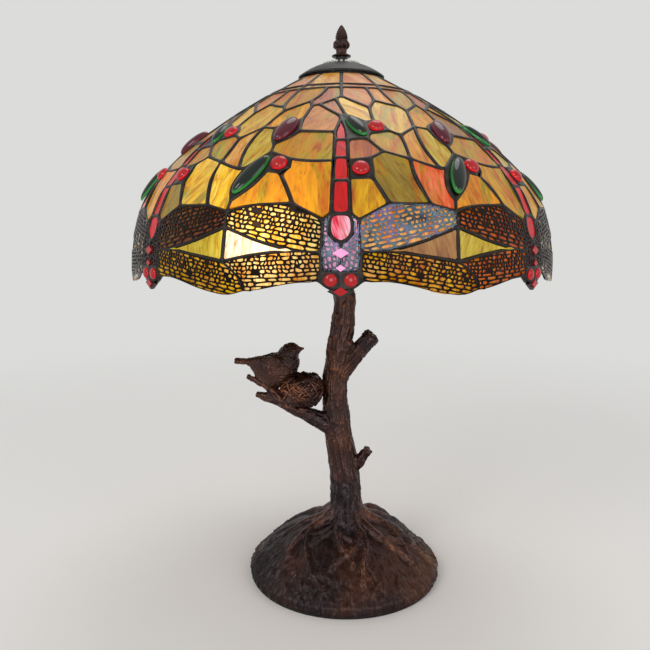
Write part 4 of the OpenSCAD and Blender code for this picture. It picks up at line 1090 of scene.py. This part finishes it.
def make_bird():
    """A small songbird looking up towards the trunk, tail level, wings folded."""
    bm = bmesh.new()
    add_limb(bm, BIRD, sides=28, steps=5)
    for side in (-1, 1):
        add_limb(bm, ((-96, -8 + 3.5 * side, 228.2, 0.8), (-88, -8 + 6.5 * side, 229, 3.6),
                      (-78, -8 + 11.8 * side, 227.5, 7), (-69, -8 + 14.2 * side, 228, 8),
                      (-61, -8 + 13.6 * side, 230, 5.4), (-56, -8 + 11.6 * side, 233, 1.4)),
                 sides=16, steps=4, squash=0.36)
        add_limb(bm, ((-70 + 3.5 * side, -8 + 4 * side, 216, 7.5),
                      (-70 + 3.5 * side, -8 + 3 * side, 208, 4.6),
                      (-70 + 3.5 * side, -8 + side, 199, 3)), sides=12, steps=3)
    add_limb(bm, ((-84, -8, 229.5, 4.5), (-94, -8, 229, 3.4), (-102, -8, 229.3, 3.1), (-109, -8, 229.8, 3)),
             sides=16, steps=3, squash=1.7)
    bird = blended(bm, 0.62)
    carve(bird, feathers)
    piece("songbird", bird, "stand", BRONZE, ["bird"])


def feathers(co, normal):
    """Shallow rows of feathers, quieter on the head; head, tail and flanks are lighter, partly rubbed wear
    and partly painted highlight.
    """
    rows = math.sin(co.x * 1.3 + 1.6 * abs(math.sin(co.z * 0.8)) + noise.noise(co / 4) * 4)
    barbs = noise.noise(Vector((co.x * 0.12, co.y * 0.5, co.z * 0.6)))
    head = min(max((co.x + 56) / 8, 0), 1) * min(max((co.z - 236) / 5, 0), 1)
    tail = min(max((-94 - co.x) / 6, 0), 1)
    # A painted highlight on the flank
    flank = math.exp(-((co.x + 72) ** 2 + (co.z - 228) ** 2) / 90)
    quiet = 1 - 0.8 * head
    proud = 0.3 + 0.12 * rows + 0.55 * head + 0.4 * tail + 0.5 * flank
    return (0.2 * rows + 0.55 * barbs + 0.5 * noise.noise(co / 2.2)) * quiet, proud


# The finial's outline: how far up it is from 0 to 1, and its radius in millimetres
FINIAL = ((0, 9), (0.04, 9.2), (0.09, 5.7), (0.16, 5.2), (0.24, 5.5), (0.3, 7.2), (0.38, 7.8), (0.46, 6.9),
          (0.52, 5.5), (0.6, 5.6), (0.7, 5.1), (0.8, 4.1), (0.9, 2.6), (0.96, 1.6), (1, 0.4))


def make_finial():
    """A fluted bud under a twisted flame, on a flared foot."""
    low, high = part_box("finial")
    line = smooth_line([(part, radius, 0) for part, radius in FINIAL], 7)
    sides = 72
    bm = bmesh.new()
    ridge = bm.verts.layers.float.new("wear_and_highlight")
    loops = []
    for station in line:
        part, radius = station.x, max(station.y, 0.3)
        fluted = min(max((part - 0.2) / 0.08, 0), 1) * min(max((0.98 - part) / 0.1, 0), 1)
        twist = 2 * part if part < 0.5 else 1 + 11 * (part - 0.5)
        loop = []
        for k in range(sides):
            angle = math.tau * k / sides
            strand = abs(math.sin(4 * (angle + twist)))
            wide = radius * (1 + fluted * 0.24 * (strand - 0.6)) * MM
            vert = bm.verts.new((wide * math.cos(angle), wide * math.sin(angle),
                                 low[2] + (high[2] - low[2]) * part))
            # The twisted strands are lighter on their ridges: rubbed wear and a painted highlight
            vert[ridge] = 0.1 + fluted * 0.45 * strand
            loop.append(vert)
        loops.append(loop)
    close_over(bm, loops)
    piece("twisted_finial", bm, "finial_knob", BRONZE, ["finial"])


def make_cap_glints():
    """Two rings of pale beads on the cap, round its neck: painted highlights standing for glints of light
    there.
    """
    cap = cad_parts["vent_cap"]
    bm = bmesh.new()
    for count, ring, size in ((16, 11.5, 1.6), (24, 17, 1.7)):
        for i in range(count):
            angle = math.tau * i / count
            x, y = ring * MM * math.cos(angle), ring * MM * math.sin(angle)
            found, spot, _, _ = cap.ray_cast(Vector((x, y, 1)), Vector((0, 0, -1)))
            part = bmesh.ops.create_uvsphere(bm, u_segments=10, v_segments=8, radius=size * MM)["verts"]
            bmesh.ops.translate(bm, verts=part, vec=spot)
    piece("cap_glint_beads", bm, "shade", GLINT_PEWTER)


def finish_cad_pieces():
    """Gives the pieces that stay as designed what they are really made of."""
    steel = new_material("zinc_plated_steel", turned_metal, "8c8e90", "b4b6b8", 0.32)
    brass = new_material("bright_brass", turned_metal, "a8843c", "cca858", 0.28)
    old_brass = new_material("antique_brass", turned_metal, "4e3c22", "7c6034", 0.38)
    nickel = new_material("nickel_plate", turned_metal, "a8a6a0", "c8c6c0", 0.22)
    porcelain = new_material("glazed_porcelain", matt_stuff, "dcd8cc", "ece8dc", 0.2, 3, 0.05)
    felt = new_material("dark_felt", matt_stuff, "14100e", "261e1a", 0.95, 0.6, 0.4)
    rubber = new_material("black_rubber", matt_stuff, "101010", "1c1c1c", 0.6, 1.5, 0.1)
    bulb = new_material("frosted_bulb", frosted_bulb)
    finishes = {steel: ("base_plate", "base_screws", "lamp_pipe", "clamp_washer", "lock_washer",
                        "riser_rod", "nest_pin"),
                brass: ("clamp_nut", "rod_coupling", "wheel_nuts", "centre_contacts", "finial_bush"),
                old_brass: ("cluster_housing", "cluster_lid", "socket_shells", "rest_wheel"),
                CAP_BRONZE: ("vent_cap", "crown_ring", "trunk_collar", "bird_legs"),
                nickel: ("bulb_front_cap", "bulb_back_cap"), porcelain: ("socket_liners",),
                felt: ("felt_pad",), rubber: ("cord_grommet",), bulb: ("bulb_front", "bulb_back")}
    for material, nodes in finishes.items():
        for node in nodes:
            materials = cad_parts[node].data.materials
            materials.clear()
            materials.append(material)


make_panes_and_solder()
for net_kind, net_sizes in NETS.items():
    make_net(net_kind, *net_sizes)
for wing_kind in WINGS:
    make_wing_glass(wing_kind)
make_flat_stones()
make_domed_stones()
make_tree()
make_mound()
make_nest()
make_bird()
make_finial()
make_cap_glints()
finish_cad_pieces()


# ---------------------------------------------------------------- lights, floor and camera
BACKGROUND = "dcdcda"
# Each soft light: its place, what it looks at, its width, all in metres, and its power in watts
LIGHTS = {"key": ((-1.3, -1.7, 1.5), (0, 0, 0.35), 1.0, 13), "fill": ((1.6, -1.3, 0.9), (0, 0, 0.3), 1.2, 6),
          "top": ((0.2, 0.5, 1.9), (0, 0, 0.4), 1.0, 5),
          "low_front": ((0.1, -1.9, 0.35), (0, 0, 0.15), 0.9, 7)}
SKY_STRENGTH = 0.62
FLOOR_RADIUS = 6
# How far from the lamp the floor starts to fade into the background, and where it has gone
FADE_START, FADE_END = 0.35, 1.6
# The camera's place in metres, its lens in millimetres, and how far it tilts down and turns left in degrees
CAMERA_PLACE, CAMERA_LENS, CAMERA_TILT, CAMERA_TURN = (0, -0.678, 0.363), 36.72, 8.14, 1.35


def add_light(name, spot, aim, size, power):
    """A round white area light."""
    data = bpy.data.lights.new(name, "AREA")
    data.shape, data.size, data.energy = "DISK", size, power
    made = in_scene(name, data)
    made.location = spot
    made.rotation_euler = (Vector(aim) - Vector(spot)).to_track_quat("-Z", "Y").to_euler()


def sight_of_background(tree):
    """1 where the background is looked at, mirrored or seen through glass; 0 where it lights the lamp."""
    sight = add(tree, "LightPath")
    direct = add(tree, "Math", {0: sight.outputs["Is Camera Ray"], 1: sight.outputs["Is Glossy Ray"]},
                 operation="MAXIMUM")
    seen = add(tree, "Math", {0: direct, 1: sight.outputs["Is Transmission Ray"]},
               operation="MAXIMUM")
    return seen


def pale_floor(tree):
    """Matt pale paper that takes the lamp's shadow and fades into the background."""
    paper = add(tree, "BsdfPrincipled", {"Base Color": linear("f0eeea"), "Roughness": 0.9})
    away = add(tree, "VectorMath", {0: add(tree, "TexCoord").outputs["Object"]}, operation="LENGTH")
    fade = add(tree, "MapRange", {"Value": away.outputs["Value"], "From Min": FADE_START,
                                  "From Max": FADE_END}, interpolation_type="SMOOTHSTEP")
    far = add(tree, "Math", {0: fade, 1: sight_of_background(tree)}, operation="MULTIPLY")
    plain = add(tree, "Emission", {"Color": linear(BACKGROUND), "Strength": 1.0})
    return add(tree, "MixShader", {0: far, 1: paper, 2: plain})


def make_studio():
    """A pale floor, an even pale background and soft light from the front, both sides and above."""
    bm = bmesh.new()
    bmesh.ops.create_circle(bm, cap_ends=True, segments=96, radius=FLOOR_RADIUS)
    floor = in_scene("floor", mesh_of("floor", bm))
    floor.data.materials.append(new_material("pale_floor", pale_floor))
    world = bpy.data.worlds.new("studio")
    bpy.context.scene.world = world
    world.use_nodes = True
    tree = world.node_tree
    tree.nodes.clear()
    lit = add(tree, "Background", {"Color": linear("f2f2f4"), "Strength": SKY_STRENGTH})
    shown = add(tree, "Background", {"Color": linear(BACKGROUND), "Strength": 1.0})
    mixed = add(tree, "MixShader", {0: sight_of_background(tree), 1: lit, 2: shown})
    add(tree, "OutputWorld", {"Surface": mixed})
    for name, values in LIGHTS.items():
        add_light(name, *values)


def make_camera():
    """A camera a little above the stand, looking slightly down at the lamp from the front."""
    data = bpy.data.cameras.new("camera")
    data.lens, data.sensor_width = CAMERA_LENS, 36
    camera = in_scene("camera", data)
    camera.location = CAMERA_PLACE
    camera.rotation_euler = (math.radians(90 - CAMERA_TILT), 0, math.radians(CAMERA_TURN))
    bpy.context.scene.camera = camera


make_studio()
make_camera()
bpy.context.scene.view_settings.view_transform = "Standard"
